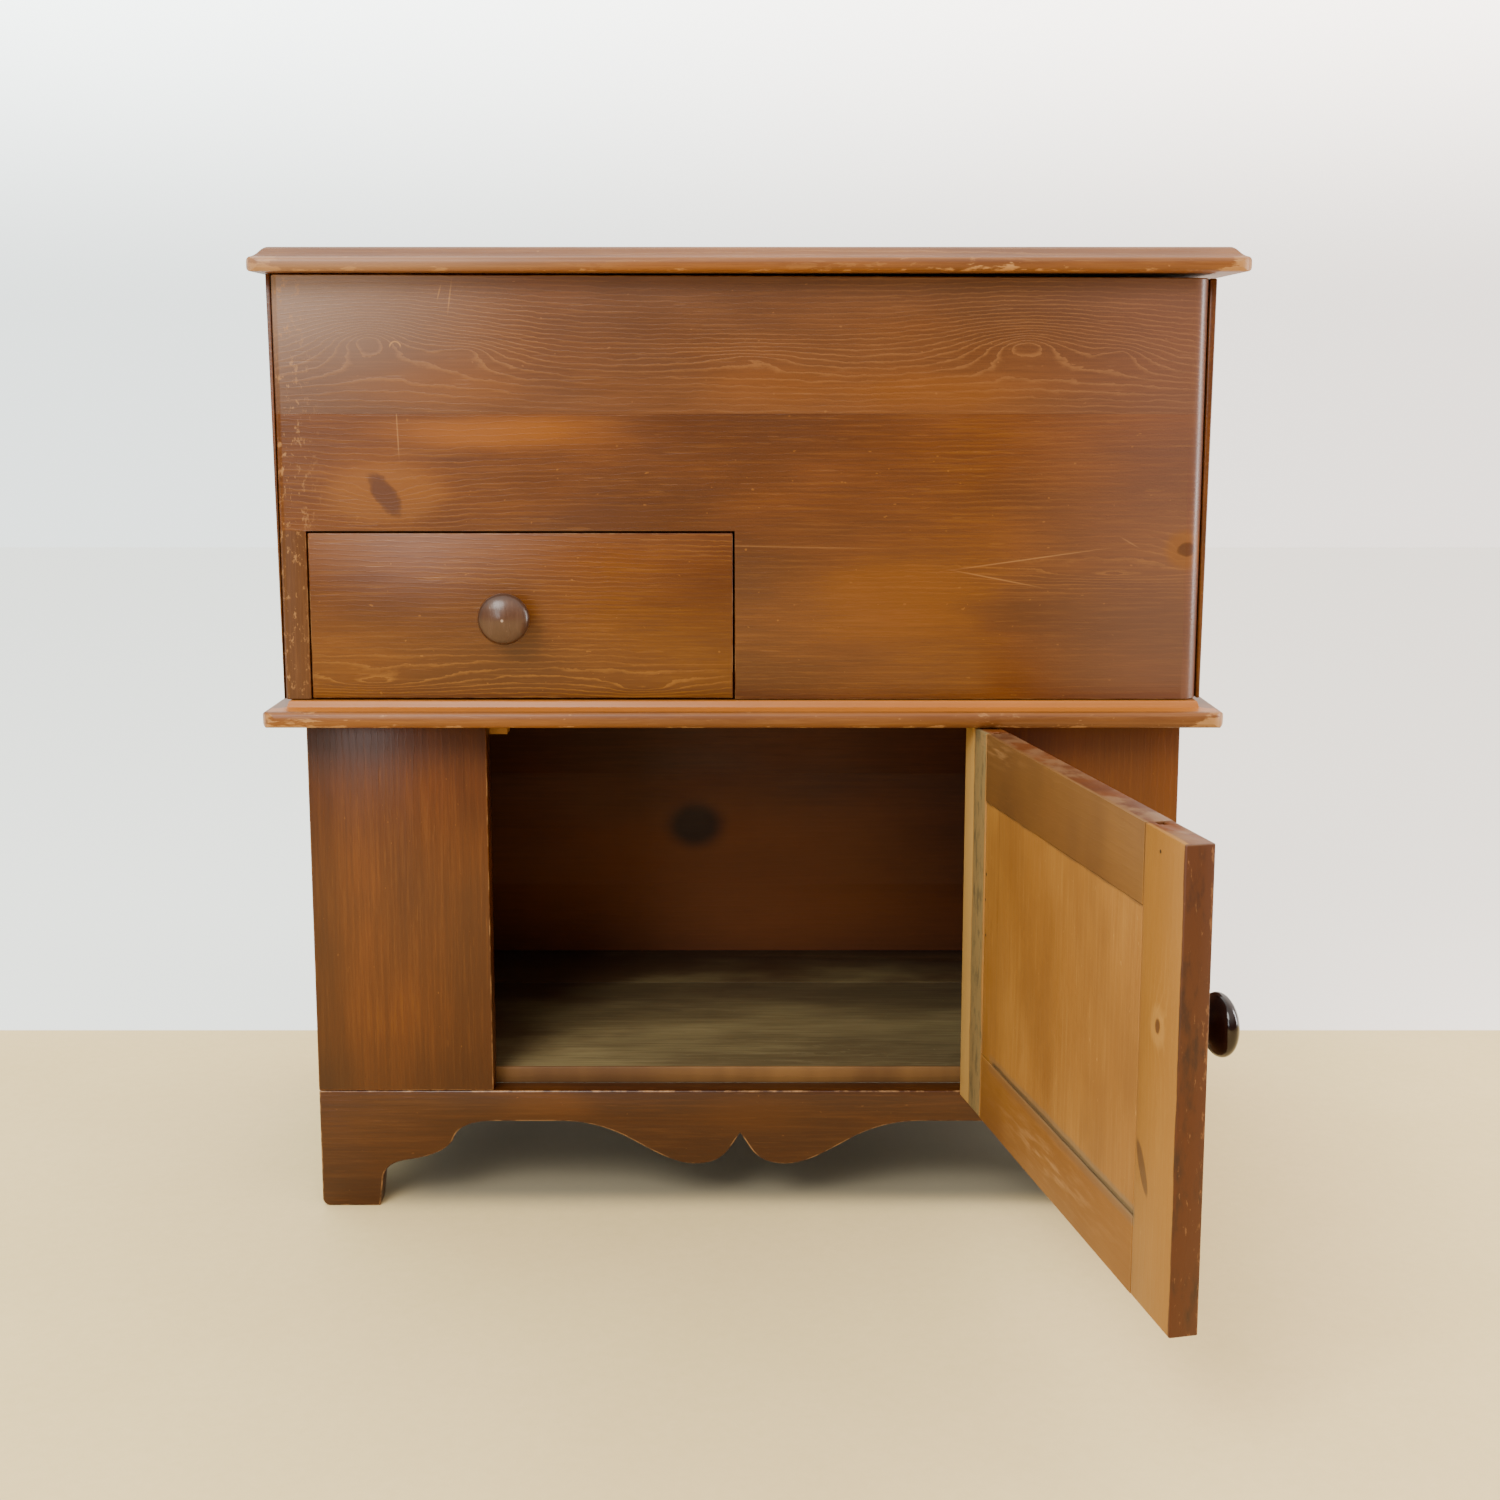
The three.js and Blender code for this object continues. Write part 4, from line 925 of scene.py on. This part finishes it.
def softened(node, width, material, slot, worn=None, angle=28, tight=()):
    """width is the bevel's, in mm. tight lists the heights of glued joints, which stay sharp."""
    piece = merged_copy(node, material, worn)
    round_edges(piece, width, math.radians(angle), close_joints(piece, node, tight))
    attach(piece, frame["nodes"][node]["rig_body"])
    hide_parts(node)
    return piece


print("softening ready")

# %% [markdown]
# Now every wooden piece is dressed, one line for each kind of board: its bevel in millimetres,
# its finish, a slot name, and where the stain is rubbed, the finish of its edges. A wide
# front, made of two boards and a stile, has glued joints, and so has the cupboard's back.


# %% Dress the case
def dress(names, width, material, slot, worn=None, **more):
    for name in names.split():
        piece = softened(name, width, material, slot, worn, **more)
        print(piece.name, len(piece.data.polygons), "faces")


seam = (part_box("front_lower_board")[1].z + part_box("front_top_board")[0].z) / 2
stile_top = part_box("front_stile_left")[1].z
dress("front_top_board", 1.0, top_pine, "case_wood", rubbed_front, tight=[seam])
dress("front_lower_board", 0.8, front_pine, "case_wood", rubbed_front, tight=[seam, stile_top])
dress("front_stile_left", 0.8, stile_pine, "case_wood", rubbed_front, tight=[stile_top])
dress("upper_side_left upper_side_right", 1.2, side_pine, "case_wood")
dress("waist_board", 0.8, waist_pine, "case_wood")
dress("lower_panel_left lower_panel_right", 1.0, panel_pine, "case_wood", rubbed_panel)
dress("front_apron", 1.3, apron_pine, "case_wood", rubbed_apron)
dress("lower_side_left lower_side_right", 1.4, leg_pine, "case_wood", rubbed_panel)
dress("lid_front_board lid_rear_board", 0.8, lid_pine, "case_wood")
dress("drawer_front", 0.9, drawer_pine, "case_wood", rubbed_front)
dress("floor_board_front floor_board_rear", 1.2, floor_pine, "floor_wood")
back_joints = [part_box(f"lower_back_board_{place}")[1].z for place in ("bottom", "middle")]
dress("lower_back_board_bottom lower_back_board_middle lower_back_board_top", 0.6, inner_pine,
      "inner_wood", tight=back_joints)
dress("upper_back_board_top upper_back_board_bottom", 1.2, inner_pine, "inner_wood")
dress("drawer_divider well_shelf drawer_guide floor_cleat_left floor_cleat_right", 0.8, inner_pine,
      "inner_wood")
dress("door_stop_block lid_batten_left lid_batten_right", 1.0, box_pine, "door_wood")
dress("drawer_side_left drawer_side_right drawer_back drawer_bottom", 0.7, box_pine, "door_wood")
dress("door_hinge_stile door_latch_stile", 1.0, door_upright_pine, "door_wood")
dress("door_top_rail door_bottom_rail", 0.6, door_level_pine, "door_wood")
dress("door_panel", 0.4, door_panel_pine, "door_wood")

# %% [markdown]
# ## The turned knobs
# Each knob was turned on a lathe from dark wood. The frame's knob has the right outline but few
# sides. Rounding it with a subdivision surface gives the smooth waist and domed face back. A
# bevel of almost nothing on its sharpest edges keeps them crisp.


# %% Smooth the knobs
HAIR_BEVEL = 0.01


def turned(node, finish):
    piece = softened(node, HAIR_BEVEL, finish, "knob_wood", angle=80)
    alone(piece)
    bpy.ops.object.modifier_add(type="SUBSURF")
    smooth = piece.modifiers[-1]
    smooth.levels = 2
    smooth.render_levels = 2
    bpy.ops.object.modifier_apply(modifier=smooth.name)
    bpy.ops.object.shade_smooth()
    print(piece.name, len(piece.data.polygons), "faces")


turned("drawer_knob", worn_knob_wood)
turned("door_knob", dark_knob_wood)

# %% [markdown]
# ## The metal
# The zinc sheets, the drain and the hinges are thin, flat or small, and their shape is already
# right. They stay the frame's own pieces and only change their finish.


# %% Metal pieces keep their frame shape
def clad(node, finish):
    node.data.materials.clear()
    node.data.materials.append(finish)
    print(node.name, "in", finish.name)


for name, node in frame["nodes"].items():
    if name.startswith("liner") or name == "drain_pipe":
        clad(node, zinc)
    elif "hinge_" in name and "stile" not in name:
        clad(node, iron)

# %% [markdown]
# ## Floor and light
# The floor is a plain pale plane. Near the case it is a warm grey-yellow, with a painted shadow
# under the cupboard where little light reaches, and behind the case it turns as pale as a wall.

# %% The floor
FLOOR_SIZE = 14
PALE_BEYOND = 0.500

bpy.ops.mesh.primitive_plane_add(size=FLOOR_SIZE, location=(0, 0, 0))
floor = bpy.context.object
floor.name = "pale_floor"
floor_paint = Finish("pale floor", Roughness=0.85)
x, y, z = floor_paint.place()
cloud = floor_paint.noise(floor_paint.vector(x, y, z), 3.0, 5.0, 0.6)
grain = floor_paint.noise(floor_paint.vector(x, y, z), 90.0, 4.0, 0.7)
near = floor_paint.mix(cloud * 0.6 + grain * 0.4, paint(0.62, 0.455, 0.195), paint(0.82, 0.625, 0.310))
# painted shadow: a dark patch on the floor under the case
painted_shadow_under_case = x.within(-0.36, 0.36, 0.07) * y.within(0.03, 0.40, 0.03)
near = floor_paint.mix(painted_shadow_under_case * 0.8, near, paint(0.110, 0.112, 0.095))
far = floor_paint.mix(x.ramp(-0.6, 0.6), paint(0.90, 0.95, 0.93), paint(0.97, 0.89, 0.82))
floor_paint.feed("Base Color", floor_paint.mix(y.ramp(PALE_BEYOND, PALE_BEYOND + 0.004), near, far))
floor.data.materials.append(floor_paint.material)
print("floor laid")

# %% [markdown]
# A broad lamp high on the left does most of the work. A small window-like lamp, lower on the
# left, leaves a dull sheen on the old varnish at that end, and a narrow one on the right lights
# the rounded corner there. A function makes each, because it only differs in place and size.


# %% The lamps
def soft_lamp(place, aim, size, power, tint):
    bpy.ops.object.light_add(type="AREA", location=place)
    lamp = bpy.context.object
    lamp.data.shape = "RECTANGLE"
    lamp.data.size, lamp.data.size_y = size
    lamp.data.energy = power
    lamp.data.color = tint
    lamp.rotation_euler = (Vector(aim) - Vector(place)).to_track_quat("-Z", "Y").to_euler()
    return lamp


soft_lamp((-1.4, -2.6, 2.7), (0, -0.1, 0.4), (1.8, 1.4), 135, (1.0, 0.98, 0.94))
soft_lamp((-1.45, -2.9, 1.20), (-0.3, 0, 0.8), (0.7, 0.9), 17, (0.95, 0.98, 1.0))
soft_lamp((1.9, -0.15, 0.80), (0.42, 0.00, 0.72), (0.35, 1.0), 26, (1.0, 0.98, 0.98))
print("three lamps hung")

# %% [markdown]
# The room itself gives the rest of the light. It is bright overhead and behind the case and dim
# behind the camera, so that the varnish mirrors little and the stain keeps its depth, while
# rounded edges still catch light. What the camera sees of it directly is a pale backdrop that
# brightens upwards, cool on the left and warm on the right.


# %% The room
class Room(Finish):
    """The light that comes from all round, by direction."""

    def __init__(self, name):
        self.world = bpy.data.worlds.new(name)
        self.world.use_nodes = True
        self.tree = self.world.node_tree
        self.shader = self.tree.nodes["Background"]


room = Room("pale room")
direction = room.node("ShaderNodeTexCoord", output="Generated")
right, ahead, up = (room.node("ShaderNodeSeparateXYZ", None, [direction], axis) for axis in range(3))
seen = room.node("ShaderNodeLightPath", output="Is Camera Ray")
light = ahead.ramp(-0.35, 0.60) * 1.5 + up.ramp(0.15, 0.75) * 2.0 + 0.24
room.feed("Color", room.mix(right.ramp(-0.35, 0.35), paint(0.90, 0.97, 0.95), paint(1.0, 0.91, 0.83)))
backdrop = up.ramp(0.03, 0.27) * 5.2 + 2.50
room.feed("Strength", seen * backdrop + (1 - seen) * light)
bpy.context.scene.world = room.world
print("room lit")
